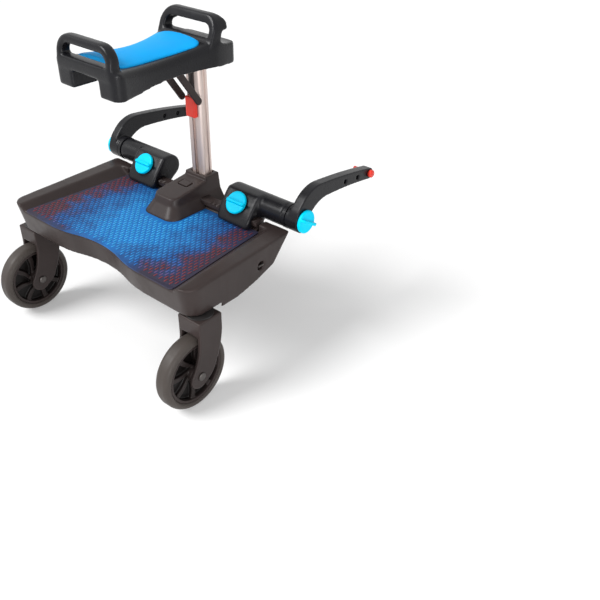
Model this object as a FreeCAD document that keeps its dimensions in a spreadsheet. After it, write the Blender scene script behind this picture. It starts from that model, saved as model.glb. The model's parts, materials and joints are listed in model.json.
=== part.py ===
import FreeCAD, Part
import math
import operator
import os
import Sketcher
from FreeCAD import Placement, Rotation, Vector

# A ride-on board with a folding saddle that hangs behind a pram.
# X runs to the right, Y forward to the pram, Z up from the floor.

# Driving sizes in millimetres, angles in degrees
SIZES = {
    # Deck tray
    "deck_front": 40,           # front edge ahead of the origin
    "deck_depth": 226,          # front edge to rear edge at the rim
    "deck_half_rear": 218,      # half width at the rear, over the rims
    "deck_half_front": 214,     # half width at the front, over the rims
    "deck_corner": 24,          # rear corner radius
    "front_corner": 7,          # front corner radius
    "side_lean": 5,             # how far the sides draw in from rim to foot
    "rear_lean": 12,            # how far the rear skirt draws in
    "front_lean": 50,           # how far the front wall draws in
    "waist_half": 55,           # half width of the hollow in the rear edge
    "waist_bow": 8,             # height of the hollow's middle arc
    "waist_ease": 60,           # width of the easing beside the hollow
    "ease_rise": 8,             # how far the easing runs in
    "ease_bow": 2.4,            # height of the easing's arc
    "foot_level": 150,          # lower edge of the side panels
    "corner_level": 158,        # underside over the casters
    "panel_level": 157,         # side panel edge at its middle
    "panel_share": 0.33,        # where that middle lies behind the front edge, as a share of the depth
    "nose_level": 170,          # side panel edge at the front
    "nose_share": 0.155,        # where the front wall's lower edge lies
    "flat_share": 0.52,         # where the lowest stretch of the panel starts
    "rim_top": 217,             # level of the tray's upper outline
    "rim_rear": 209.5,          # rim level at the rear
    "rim_front": 216,           # rim level at the front
    "rim_round": 3,             # rounding of the rim's outer edge
    "rim_ahead": 2,             # rim ends ahead of the front edge
    "rim_run": 17,              # width of the slope inside the rim
    "rim_rise": 13,             # height of that slope
    "tray_level": 200,          # floor of the tray
    "floor_thick": 4,
    "wall": 3.5,
    "rib_thick": 3,
    "rib_depth": 20,
    "rib_x": 96,                # lengthwise ribs, from the middle
    "rib_share": 0.566,         # cross rib behind the front edge, as a share of the depth
    # Grip mat
    "bed_in_rear": 37,          # mat bed inside the rim at the rear
    "bed_in_front": 53,         # and at the front
    "mat_thick": 2,
    "mat_lip": 3,               # mat edge in front of the deck's rear edge
    "mat_corner": 8,
    "mat_gap": 0.3,
    # Strap slots in the side panels
    "strap_share": 0.3,         # slot centre behind the front edge, as a share of the depth
    "strap_level": 182,
    "strap_long": 12,
    "strap_high": 15,
    "strap_deep": 15.5,         # depth of the slot's pocket inside its pin
    "strap_pin_radius": 1.6,
    # Casters
    "swivel_in": 15,            # swivel axis inside the rear rim
    "swivel_ahead": 34,         # swivel axis ahead of the rear edge
    "caster_room": 37,          # clear radius about the swivel axis
    "trail": 25.5,              # axle behind the swivel axis
    "wheel_radius": 62.5,
    "tyre_width": 28,
    "tyre_inner": 51,           # radius of the tyre's seat
    "tyre_shoulder": 8,
    "rim_inner": 46,            # inner radius of the wheel's rim
    "rim_width": 24,
    "hub_radius": 15,
    "hub_width": 31,
    "spoke_count": 8,
    "spoke_swirl": 34,          # how far a spoke leans round, in degrees
    "spoke_root": 9,            # spoke width at the hub
    "spoke_tip": 9,             # spoke width at the rim
    "spoke_width": 16,          # spoke thickness along the axle
    "spoke_bow": 4,
    "web_thick": 4,             # web that closes the gaps between the spokes
    "axle_radius": 4,
    "axle_head_radius": 6.5,
    "axle_head": 3,
    "bush_wall": 2.5,
    "fork_width": 46,
    "fork_slot": 33,
    "fork_room": 4,             # gap round the tyre under the crown
    "crown_back": 23,           # crown behind the swivel axis
    "crown_front": 23,
    "crown_top": 156,
    "leg_foot": 18,             # radius of the leg's foot round the axle
    "stem_radius": 6,
    "stem_top": 192,
    "stem_seat": 18,            # stem length held in the crown
    "stem_bush_wall": 2,
    "stem_flange": 13,          # width of the stem bush's flange
    "boss_wall": 4,
    # Front rail
    "rail_end": 4,              # rail ends inside the mat's bed
    "rail_depth": 18,           # front to back
    "rail_stem": 9,
    "rail_flange": 4,
    "rail_neck": 5,
    "rail_head": 8,
    "rail_gap": 0.3,
    "rail_stop": 24,            # width of the deck's corner beyond the rail
    "rail_notch": 3,
    "rail_notch_deep": 2,
    "rail_pitch": 9,
    "screw_radius": 2.2,
    "screw_head_radius": 4.5,
    "screw_head": 3,
    "screw_grip": 9,            # screw length above the tray floor
    "rail_screw_in": 62,
    "rail_screw_end": 9,        # outer screw inside the rail's end
    # Saddle socket
    "socket_half": 39,          # half width at the foot
    "socket_foot": 3,           # height of the upright foot
    "socket_waist": 28,         # half width above the flare
    "socket_waist_level": 221,
    "socket_neck": 24.5,        # half width at the collar
    "socket_top": 248,
    "socket_step": 6,           # collar above the slope
    "socket_nose": 92,          # nose tip behind the deck's front edge
    "nose_corner": 20,          # rounding of the nose in plan at the foot
    "nose_corner_top": 14,      # and above the flare
    "nose_lean": 14,            # how far the nose leans in up to the flare's end
    "nose_lean_top": 25,        # and up to the collar
    "nose_top": 230,            # level of the slope over the nose's foot
    "socket_wall": 4,
    "socket_apron": 6,          # apron over the deck's front edge
    "socket_round": 3,
    "socket_screw_x": 28,
    "socket_screw_back": 34,
    "button_long": 15,
    "button_wide": 22,
    "button_deep": 9,
    "button_proud": 1.5,
    "button_travel": 3,
    "button_back": 24,          # button centre behind the collar along the slope
    # Saddle post
    "post_wide": 32,
    "post_deep": 22,
    "post_ahead": 17,           # post axis ahead of the deck's front edge
    "post_gap": 0.3,
    "post_wall": 2.6,
    "post_corner": 6,
    "post_slot": 9,             # width of the rear guide slot
    "post_slot_deep": 4,
    "post_flute": 5,
    "post_flute_deep": 1.2,
    "post_foot": 206,
    "post_top": 436,
    # Saddle hinge and fold
    "hinge_ahead": 12,          # hinge axis ahead of the deck's front edge
    "hinge_level": 446,
    "hinge_pin": 4,
    "lug_radius": 10,
    "pin_fit": 0.05,
    "strut_back": 56,           # strut's upper pin behind the hinge
    "strut_drop": 4,            # and below it
    "strut_half": 6,
    "strut_thick": 3.8,
    "strut_side": 1.5,          # gap between post and strut plate
    "strut_pin": 3,
    "slider_high": 34,
    "slider_wide": 20,
    "slider_deep": 8,
    "slider_pin_down": 64,      # lower strut pin below the upper one
    "slider_pin_ahead": 45,     # and ahead of it
    "slider_pin_in": 4,         # lower strut pin below the slider's top
    # Saddle shell
    "saddle_rear": 191,         # rear wall behind the deck's front edge
    "saddle_front": 53,         # front wall ahead of it
    "saddle_half_rear": 70,
    "saddle_half_front": 63,
    "saddle_half_nose": 58,
    "saddle_waist": 13,         # how far the sides draw in
    "saddle_corner": 14,
    "saddle_nose_bow": 3,
    "saddle_low": 436,
    "saddle_low_bow": 5,
    "saddle_edge_rear": 476,
    "saddle_edge_front": 477,
    "saddle_dip": 8,
    "saddle_nose_top": 470,
    "hinge_skin": 7,            # thickness of the top over the hinge
    "saddle_wall": 4,
    "saddle_round": 11,
    "notch_gap": 1,             # gap between the socket and the rear notch that folds over it
    "notch_rib": 45,            # length of the ribs beside the notch
    "notch_drop": 2,            # top of the rear notch below the underside of the top
    "cheek_gap": 1,             # gap between strut plate and cheek
    "cheek_thick": 4,
    "handle_half": 61,
    "handle_bar": 13,
    "handle_deep": 17,
    "handle_rise_rear": 34,
    "handle_rise_front": 37,
    "handle_lean": 4,           # how far the rear loop leans in
    "front_handle_lean": 16,    # how far the front loop leans forward
    "handle_lip": 10,           # how far the front loop's lip stands out
    "lobe_low": 14,             # the front loop's lobe above its foot, lower corner
    "lobe_high": 24,            # and upper corner
    "lobe_out": 3,              # how far the upper corner stands out further
    "lobe_bow": 2,
    "handle_corner": 26,
    "handle_round": 4,
    "front_handle_back": 4,     # front handle's rear face behind the deck's front edge
    # Saddle pad
    "pad_rear": 171,            # pad's rear end behind the deck's front edge
    "pad_front": 7,             # pad's front end behind it
    "pad_half_rear": 55,
    "pad_half_waist": 37.5,
    "pad_half_front": 53,
    "pad_thick_end": 6,
    "pad_thick_waist": 5,
    "pad_crown": 7,             # how far the pad's middle stands over its edge
    "pad_side_bow": 1.2,
    # Extenders
    "tube_ahead": 16,           # tube axis ahead of the deck's front edge
    "tube_level": 232,
    "tube_radius": 20.5,
    "block_in": 78,             # housing block, inner and outer side
    "block_out": 148,
    "tube_end": 197,
    "ring_long": 6,
    "block_rear": 33,           # block's rear foot behind the deck's front edge
    "block_foot_gap": 1.2,      # block above the mat
    "block_shoulder": 206,
    "block_front": 11,          # block's front foot ahead of the deck's front edge
    "block_round": 9,
    "clamp_tilt": 40,           # clamp screw above the horizontal
    "clamp_back": 15,           # knob seat behind the deck's front edge
    "clamp_level": 236,
    "clamp_seat": 19.5,         # radius of the seat
    "clamp_seat_deep": 12,
    "clamp_screw": 3,
    "clamp_reach": 15,          # screw length below the seat
    "jaw_half": 6,
    "jaw_drop": 8,
    "knob_radius": 19,
    "knob_disc": 6,
    "knob_fin": 5,
    "knob_fin_high": 6,
    "knob_round": 2,
    "part_gap": 0.3,
    "bolt_radius": 5,
    "bolt_grip": 30,            # bolt length held in the tube
    # Connector arms
    "hub_long": 25,
    "arm_thick": 17,
    "arm_reach": 183.2,          # tip ahead of the tube axis
    "arm_tip_high": 19,
    "arm_tip_rise": 11,         # tip's lower edge above the tube axis
    "arm_rise": 49,             # shoulder above the tube axis
    "arm_shoulder": 46,         # shoulder ahead of the tube axis
    "arm_shoulder_bow": 7,
    "arm_elbow": 60,            # inner bend ahead of the tube axis
    "arm_elbow_rise": 23,
    "arm_elbow_bow": 4.5,
    "arm_camber": 1.8,
    "hole_radius": 4.05,
    "hole_back": 10,            # pin hole behind the tip
    "hole_pitch": 34,
    "hole_rise": 21.5,          # pin hole above the tube axis
    "hole_step": 4.2,           # rise from each hole to the next
    "pin_radius": 4,
    "peg_radius": 3.96,         # free end of the pin
    "pin_head_radius": 6.5,
    "pin_head": 6,
    "pin_long": 33,
}

doc = FreeCAD.newDocument("buggy_board")
sheet = doc.addObject("Spreadsheet::Sheet", "Sizes")
for row, (name, value) in enumerate(SIZES.items(), 1):
    sheet.set(f"A{row}", name)
    sheet.set(f"B{row}", str(value))
    sheet.setAlias(f"B{row}", name)
doc.recompute()

SIGNS = {"+": operator.add, "-": operator.sub, "*": operator.mul, "/": operator.truediv}
CORNER = 1 - math.sqrt(0.5)     # height of a quarter circle's arc over its chord, per radius
OVER = 40                       # how far a cutting block runs past what it cuts


class Size:
    """A number together with the sheet expression that gives it."""

    def __init__(self, value, text):
        self.value = value
        self.text = text

    def __add__(self, other):
        return joined(self, "+", other)

    def __radd__(self, other):
        return joined(other, "+", self)

    def __sub__(self, other):
        return joined(self, "-", other)

    def __rsub__(self, other):
        return joined(other, "-", self)

    def __mul__(self, other):
        return joined(self, "*", other)

    def __rmul__(self, other):
        return joined(other, "*", self)

    def __truediv__(self, other):
        return joined(self, "/", other)

    def __neg__(self):
        return joined(-1, "*", self)


def as_size(amount):
    """A plain number becomes a size without a cell."""
    return amount if isinstance(amount, Size) else Size(float(amount), f"({float(amount)!r})")


def joined(first, sign, second):
    """Two sizes joined by an arithmetic sign, as number and as expression."""
    first, second = as_size(first), as_size(second)
    return Size(SIGNS[sign](first.value, second.value), f"({first.text} {sign} {second.text})")


def number(amount):
    """The value of a size or of a plain number."""
    return as_size(amount).value


class Cells:
    """The sheet's sizes by name."""

    def __init__(self):
        for name, value in SIZES.items():
            setattr(self, name, Size(float(value), f"Sizes.{name}"))


S = Cells()
PARTS = []


def bind(thing, prop, amount):
    """Ties a property to the sheet where its amount comes from there."""
    if "Sizes." in as_size(amount).text:
        thing.setExpression(prop, amount.text)


def put(thing, x, y, z, turn=Rotation()):
    """Places an object, with its position tied to the sheet."""
    thing.Placement = Placement(Vector(number(x), number(y), number(z)), turn)
    for axis, amount in zip("xyz", (x, y, z)):
        bind(thing, f"Placement.Base.{axis}", amount)
    return thing


def part(node, thing):
    """Marks an object as a finished sub-part."""
    thing.Label = node
    PARTS.append(thing)
    return thing


# Solids from primitives and booleans

def cylinder(radius, length, x, y, z, turn=Rotation()):
    """A cylinder from a centre along its turned Z axis."""
    thing = doc.addObject("Part::Cylinder", "round_block")
    thing.Radius = number(radius)
    thing.Height = number(length)
    bind(thing, "Radius", radius)
    bind(thing, "Height", length)
    return put(thing, x, y, z, turn)


def box(low, high, turn=Rotation()):
    """A box between two corners."""
    thing = doc.addObject("Part::Box", "square_block")
    for prop, first, last in zip(("Length", "Width", "Height"), low, high):
        setattr(thing, prop, number(last) - number(first))
        bind(thing, prop, last - as_size(first))
    return put(thing, *low, turn)


def gather(kind, label, things):
    """A fusion or a common of several objects."""
    thing = doc.addObject(kind, label)
    thing.Shapes = list(things)
    return thing


def fuse(label, *things):
    thing = gather("Part::MultiFuse", label, things)
    thing.Refine = True
    return thing


def common(label, *things):
    return gather("Part::MultiCommon", label, things)


def compound(label, things):
    """Several separate solids as one object."""
    thing = doc.addObject("Part::Compound", label)
    thing.Links = list(things)
    return thing


def cut(label, base, *tools):
    """An object with others taken away."""
    thing = doc.addObject("Part::Cut", label)
    thing.Base = base
    thing.Tool = tools[0] if len(tools) == 1 else gather("Part::MultiFuse", label + "_tools", tools)
    return thing


def soften(label, base, radius, pick):
    """Rounds the edges that pick chooses."""
    doc.recompute()
    thing = doc.addObject("Part::Fillet", label)
    thing.Base = base
    r = number(radius)
    thing.Edges = [(i, r, r) for i, edge in enumerate(base.Shape.Edges, 1) if pick(edge)]
    return thing


def middle(edge):
    """The point half way along an edge."""
    return edge.valueAt((edge.FirstParameter + edge.LastParameter) / 2)


def heading(edge):
    """The direction of an edge at its middle."""
    return edge.tangentAt((edge.FirstParameter + edge.LastParameter) / 2)


# Solids from sketches

PLANES = {"XY": ("XY_Plane", 1), "XZ": ("XZ_Plane", -1), "YZ": ("YZ_Plane", 1)}


def sketch_on(body, plane, level):
    """An empty sketch on one of the body's planes, moved to a level."""
    role, sign = PLANES[plane]
    sketch = body.newObject("Sketcher::SketchObject", "outline")
    support = [face for face in body.Origin.OriginFeatures if face.Role == role][0]
    sketch.AttachmentSupport = [(support, "")]
    sketch.MapMode = "FlatFace"
    shift = as_size(level) * sign
    sketch.AttachmentOffset = Placement(Vector(0, 0, shift.value), Rotation())
    bind(sketch, "AttachmentOffset.Base.z", shift)
    return sketch


def trace(sketch, points):
    """Draws a closed outline, anticlockwise. A third entry bows the next stretch outwards by that height."""
    count = len(points)
    ends = [Vector(number(p[0]), number(p[1]), 0) for p in points]
    shapes = []
    for i, point in enumerate(points):
        first, last = ends[i], ends[(i + 1) % count]
        if len(point) < 3:
            shapes.append(Part.LineSegment(first, last))
            continue
        along = last - first
        outward = Vector(along.y, -along.x, 0).normalize()
        shapes.append(Part.Arc(first, (first + last) * 0.5 + outward * number(point[2]), last))
    ids = sketch.addGeometry(shapes)
    starts = [1 if sketch.getPoint(g, 1).isEqual(ends[i], 1e-6) else 2 for i, g in enumerate(ids)]
    rules, ties = [], []
    for i, point in enumerate(points):
        before = i - 1
        rules.append(Sketcher.Constraint("Coincident", ids[before], 3 - starts[before], ids[i], starts[i]))
        ties.append(None)
        for kind, amount in zip(("DistanceX", "DistanceY"), point):
            rules.append(Sketcher.Constraint(kind, -1, 1, ids[i], starts[i], number(amount)))
            ties.append(amount)
        if len(point) > 2:
            after = points[(i + 1) % count]
            across, up = after[0] - as_size(point[0]), after[1] - as_size(point[1])
            bow = as_size(point[2])
            radius = ((across * across + up * up) / 4 + bow * bow) / (2 * (bow if bow.value > 0 else -bow))
            rules.append(Sketcher.Constraint("Radius", ids[i], radius.value))
            ties.append(radius)
    for index, amount in zip(sketch.addConstraint(rules), ties):
        if amount is not None:
            bind(sketch, f"Constraints[{index}]", amount)


def ring(sketch, x, y, radius):
    """Draws a circle."""
    g = sketch.addGeometry(Part.Circle(Vector(number(x), number(y), 0), Vector(0, 0, 1), number(radius)))
    for kind, amount in (("DistanceX", x), ("DistanceY", y)):
        i = sketch.addConstraint(Sketcher.Constraint(kind, -1, 1, g, 3, number(amount)))
        bind(sketch, f"Constraints[{i}]", amount)
    i = sketch.addConstraint(Sketcher.Constraint("Radius", g, number(radius)))
    bind(sketch, f"Constraints[{i}]", radius)


def new_body(label):
    return doc.addObject("PartDesign::Body", label)


def pad(body, plane, low, high, *outlines):
    """Pads outlines between two levels of a plane.
    An outline is a list of points or a circle's (x, y, radius)."""
    sketch = sketch_on(body, plane, low)
    for shape in outlines:
        if isinstance(shape, list):
            trace(sketch, shape)
        else:
            ring(sketch, *shape)
    feature = body.newObject("PartDesign::Pad", "pad")
    feature.Profile = sketch
    length = high - as_size(low)
    feature.Length = length.value
    bind(feature, "Length", length)
    feature.Reversed = plane == "XZ"
    return feature


def prism(label, plane, low, high, *outlines):
    """A body with one pad."""
    body = new_body(label)
    pad(body, plane, low, high, *outlines)
    return body


def loft(label, plane, *sections):
    """A body lofted straight through (level, outline) sections."""
    body = new_body(label)
    sketches = []
    for level, points in sections:
        sketches.append(sketch_on(body, plane, level))
        trace(sketches[-1], points)
    feature = body.newObject("PartDesign::AdditiveLoft", "loft")
    feature.Profile = sketches[0]
    feature.Sections = sketches[1:]
    feature.Ruled = True
    return body


def turned(label, profile):
    """A body turned about its own Z axis from (radius, height) points."""
    body = new_body(label)
    sketch = sketch_on(body, "XZ", 0)
    trace(sketch, profile)
    feature = body.newObject("PartDesign::Revolution", "turning")
    feature.Profile = sketch
    feature.ReferenceAxis = (sketch, ["V_Axis"])
    feature.Angle = 360
    return body


def both_sides(right, rear_bow=()):
    """An outline that is the same left and right, from its right half going forward."""
    left = []
    for i in range(len(right) - 1, -1, -1):
        bow = right[i - 1][2:] if i else rear_bow
        left.append((-as_size(right[i][0]), right[i][1], *bow))
    return list(right) + left


def span(side, inner, outer):
    """An X range on the right, or mirrored on the left."""
    return (inner, outer) if side > 0 else (-as_size(outer), -as_size(inner))


def outward(side):
    """Turns a piece's Z axis to point away from the middle."""
    return Rotation(Vector(0, 1, 0), 90 * side)


SIDES = {"right": 1, "left": -1}

# Places worked out from the sizes
deck_rear = S.deck_front - S.deck_depth
swivel_x = S.deck_half_rear - S.swivel_in
swivel_y = deck_rear + S.swivel_ahead
axle_y = swivel_y - S.trail
rail_rear = S.deck_front - S.rail_depth
rail_half = S.deck_half_front - S.bed_in_front - S.rail_end
rail_top = S.tray_level + S.rail_flange + S.rail_neck + S.rail_head
socket_nose = S.deck_front - S.socket_nose
post_y = S.deck_front + S.post_ahead
post_rear = post_y - S.post_deep / 2
hinge_y = S.deck_front + S.hinge_ahead
strut_y = hinge_y - S.strut_back
strut_z = S.hinge_level - S.strut_drop
slider_pin_y = strut_y + S.slider_pin_ahead
slider_pin_z = strut_z - S.slider_pin_down
tube_y = S.deck_front + S.tube_ahead
plate_in = S.post_wide / 2 + S.strut_side
plate_out = plate_in + S.strut_thick
cheek_in = plate_out + S.cheek_gap
cheek_out = cheek_in + S.cheek_thick
saddle_rear = S.deck_front - S.saddle_rear
saddle_front = S.deck_front + S.saddle_front
saddle_roof = S.saddle_edge_rear - S.saddle_dip - S.saddle_wall
strap_y = S.deck_front - S.deck_depth * S.strap_share
strap_x = (S.deck_half_front + (S.deck_half_rear - S.deck_half_front) * S.strap_share
           - S.side_lean * ((S.rim_top - S.strap_level) / (S.rim_top - S.foot_level)) - S.wall / 2)
arm_in = S.tube_end + S.ring_long + S.part_gap
arm_out = arm_in + S.hub_long
SCREWS = [(x * side, y)
          for side in (1, -1)
          for x, y in ((S.rail_screw_in, S.deck_front - S.rail_depth / 2),
                       (rail_half - S.rail_screw_end, S.deck_front - S.rail_depth / 2),
                       (S.socket_screw_x, S.deck_front - S.socket_screw_back))]


def waist(inset):
    """The right half of the rear edge: the hollow, its easing and the straight end."""
    edge = deck_rear + inset
    return [(S.waist_half, edge + S.ease_rise, S.ease_bow), (S.waist_half + S.waist_ease, edge)]


def deck_outline(drop, wall):
    """The tray's outline at a share of the way down its walls, inside a wall."""
    rear = deck_rear + S.rear_lean * drop + wall
    front = S.deck_front + S.rim_ahead - S.front_lean * drop - wall
    half_rear = S.deck_half_rear - S.side_lean * drop - wall
    half_front = S.deck_half_front - S.side_lean * drop - wall
    corner = S.deck_corner - wall
    right = waist(S.rear_lean * drop + wall) + [
        (half_rear - corner, rear, corner * CORNER),
        (half_rear, rear + corner),
        (half_front, front - S.front_corner, S.front_corner * CORNER),
        (half_front - S.front_corner, front),
    ]
    return both_sides(right, (-S.waist_bow,))


def mat_half(y):
    """Half width of the mat's bed at a place along the deck."""
    rear = S.deck_half_rear - S.bed_in_rear
    front = S.deck_half_front - S.bed_in_front
    return rear + (front - rear) * ((y - deck_rear) / S.deck_depth)


def over_rim(y):
    """Outline of the space over the tray's rims at a place along the deck, with their rounded outer edges."""
    straight = S.deck_depth + S.rim_ahead - S.front_corner - S.deck_corner
    level = S.rim_rear + (S.rim_front - S.rim_rear) * ((y - deck_rear) / S.deck_depth)
    share = (y - deck_rear - S.deck_corner) / straight
    half = S.deck_half_rear + (S.deck_half_front - S.deck_half_rear) * share
    edge = half - S.side_lean * ((S.rim_top - level) / (S.rim_top - S.foot_level))
    return both_sides([
        (edge - S.rim_round, level, -S.rim_round * CORNER), (edge, level - S.rim_round),
        (edge + OVER, level - S.rim_round), (edge + OVER, level + OVER)])


def deck_tray():
    """Moulded tray with rims, skirt, ribs and caster bosses."""
    low, high = S.foot_level, S.rim_top
    under = S.tray_level - S.floor_thick
    back, ahead = deck_rear - OVER, S.deck_front + OVER
    reach = S.deck_half_rear + OVER
    block = loft("tray_block", "XY", (low, deck_outline(1, 0)), (high, deck_outline(0, 0)))

    depth = high - low
    hollow = loft("tray_hollow", "XY",
                  (low - 2, deck_outline((depth + 2) / depth, S.wall)),
                  (under, deck_outline((high - under) / depth, S.wall)))
    pocket = swivel_y + S.caster_room
    below = prism("tray_below", "YZ", -reach, reach, [
        (back, low - OVER), (ahead, low - OVER), (ahead, S.nose_level),
        (S.deck_front - S.deck_depth * S.nose_share, S.nose_level),
        (S.deck_front - S.deck_depth * S.panel_share, S.panel_level),
        (S.deck_front - S.deck_depth * S.flat_share, low),
        (pocket, low), (pocket, S.corner_level), (back, S.corner_level)])
    above = loft("tray_above", "XZ", (back, over_rim(back)), (ahead, over_rim(ahead)))
    bed = []
    for run, rise in ((0, 0), (2, 2)):
        grow = S.rim_run * run
        right = [(mat_half(back) + grow, back), (mat_half(ahead) + grow, ahead)]
        bed.append((S.tray_level + S.rim_rise * rise, both_sides(right)))
    shell = cut("tray_shell", block, hollow, below, above, loft("tray_bed", "XY", *bed))

    rib_low, rib_high = under - S.rib_depth, under + S.floor_thick / 2
    half = S.rib_thick / 2
    ribs = [box((x - half, back, rib_low), (x + half, ahead, rib_high)) for x in (S.rib_x, -S.rib_x)]
    cross = S.deck_front - S.deck_depth * S.rib_share
    ribs.append(box((-reach, cross - half, rib_low), (reach, cross + half, rib_high)))
    boss = S.stem_radius + S.stem_bush_wall + S.boss_wall
    slot_y, slot_z = S.strap_long / 2, S.strap_high / 2
    for side in SIDES.values():
        ribs.append(cylinder(boss, rib_high - S.corner_level, swivel_x * side, swivel_y, S.corner_level))
        x_low, x_high = span(side, strap_x - S.strap_deep - S.rib_thick, strap_x)
        ribs.append(box((x_low, strap_y - slot_y - S.rib_thick, S.strap_level - slot_z - S.rib_thick),
                        (x_high, strap_y + slot_y + S.rib_thick, S.strap_level + slot_z + S.rib_thick)))
    frame = common("tray_frame", block, fuse("tray_ribs", *ribs))
    shelf = box((-rail_half, rail_rear - S.rail_depth, under), (rail_half, S.deck_front, S.tray_level))
    stops = []
    for side in SIDES.values():
        bed_half = mat_half(S.deck_front)
        x_low, x_high = span(side, bed_half, bed_half + S.rail_stop)
        stops.append(box((x_low, rail_rear, under), (x_high, S.deck_front, S.rim_front - 1)))

    holes = []
    for side in SIDES.values():
        holes.append(cylinder(S.stem_radius + S.stem_bush_wall, under - S.corner_level + OVER,
                              swivel_x * side, swivel_y, S.corner_level - OVER))
        x_low, x_high = span(side, strap_x - S.strap_deep, strap_x + OVER)
        holes.append(box((x_low, strap_y - slot_y, S.strap_level - slot_z),
                         (x_high, strap_y + slot_y, S.strap_level + slot_z)))
    for x, y in SCREWS:
        holes.append(cylinder(S.screw_radius + S.pin_fit, S.floor_thick * 3, x, y, under - S.floor_thick))
    part("deck_tray", cut("tray_bored", fuse("tray_whole", shell, frame, shelf, *stops), *holes))


def grip_mat():
    """Flat mat on the tray's floor, cut round the socket."""
    front = rail_rear - S.mat_gap
    rear = deck_rear + S.mat_lip
    half_rear = mat_half(rear) - S.mat_gap
    inner = S.socket_half + S.mat_gap
    nose, corner = socket_nose - S.mat_gap, S.nose_corner + S.mat_gap
    right = waist(S.mat_lip) + [
        (half_rear - S.mat_corner, rear, S.mat_corner * CORNER),
        (half_rear, rear + S.mat_corner),
        (mat_half(front) - S.mat_gap, front),
        (inner, front),
        (inner, nose + corner, -corner * CORNER),
        (inner - corner, nose),
    ]
    part("grip_mat", prism("mat", "XY", S.tray_level, S.tray_level + S.mat_thick,
                           both_sides(right, (-S.waist_bow,))))


def strap_pins():
    """Cross pins that hold a lifting strap in the side slots."""
    for name, side in SIDES.items():
        pin = cylinder(S.strap_pin_radius, S.strap_long, strap_x * side, strap_y + S.strap_long / 2,
                       S.strap_level, Rotation(Vector(1, 0, 0), 90))
        part(f"strap_pin_{name}", pin)


def rail_profile(gap):
    """The rail's T section, grown by a gap."""
    middle_y = S.deck_front - S.rail_depth / 2
    half, stem = S.rail_depth / 2 + gap, S.rail_stem / 2 + gap
    foot = S.tray_level + S.rail_flange + gap
    head = S.tray_level + S.rail_flange + S.rail_neck - gap
    return [(middle_y - half, S.tray_level), (middle_y + half, S.tray_level),
            (middle_y + half, foot), (middle_y + stem, foot),
            (middle_y + stem, head), (middle_y + half, head),
            (middle_y + half, rail_top + gap), (middle_y - half, rail_top + gap),
            (middle_y - half, head), (middle_y - stem, head),
            (middle_y - stem, foot), (middle_y - half, foot)]


def front_rail():
    """T rail along the front edge, with index notches."""
    bar = prism("rail_bar", "YZ", -rail_half, rail_half, rail_profile(0))
    tools = []
    for side in SIDES.values():
        for i in range(12):
            x = (rail_half - S.rail_pitch * (i + 0.5)) * side
            tools.append(box((x - S.rail_notch / 2, rail_rear - 1, rail_top - S.rail_notch_deep),
                             (x + S.rail_notch / 2, rail_rear + S.rail_depth / 3, rail_top + 1)))
    for x, y in SCREWS:
        tools.append(cylinder(S.screw_radius + S.pin_fit, S.screw_grip + 1, x, y, S.tray_level))
    part("front_rail", cut("rail_notched", bar, *tools))


def deck_screws():
    """Screws from below that hold the rail and the socket."""
    under = S.tray_level - S.floor_thick
    screws = []
    for x, y in SCREWS:
        shank = cylinder(S.screw_radius, S.floor_thick + S.screw_grip, x, y, under)
        head = cylinder(S.screw_head_radius, S.screw_head, x, y, under - S.screw_head)
        screws.append(fuse("screw", shank, head))
    part("deck_screws", compound("screws", screws))


def slope_angle():
    """The socket's slope over the horizontal, in degrees."""
    run = S.socket_nose.value + 1
    rise = S.socket_top.value - S.socket_step.value - S.nose_top.value
    return math.degrees(math.atan2(rise, run))


def button_block(gap, below, above):
    """The release button's block, set square to the slope and grown by the given amounts."""
    block = doc.addObject("Part::Box", "button_block")
    sizes = (S.button_wide + 2 * gap, S.button_long + 2 * gap, S.button_deep + below + above)
    for prop, amount in zip(("Length", "Width", "Height"), sizes):
        setattr(block, prop, amount.value)
        bind(block, prop, amount)
    turn = Rotation(Vector(1, 0, 0), slope_angle())
    start = Vector(0, S.deck_front.value, (S.socket_top - S.socket_step).value)
    corner = Vector(-sizes[0].value / 2, -S.button_back.value - sizes[1].value / 2,
                    -S.button_deep.value - number(below))
    block.Placement = Placement(start + turn.multVec(corner), turn)
    return block


def socket_outline(half, lean, corner):
    """The socket's plan at one level, with a blunt round nose."""
    nose = socket_nose + lean
    return both_sides([
        (half - corner, nose, corner * CORNER), (half, nose + corner),
        (half, post_y + S.post_deep / 2 + S.socket_wall)])


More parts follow.
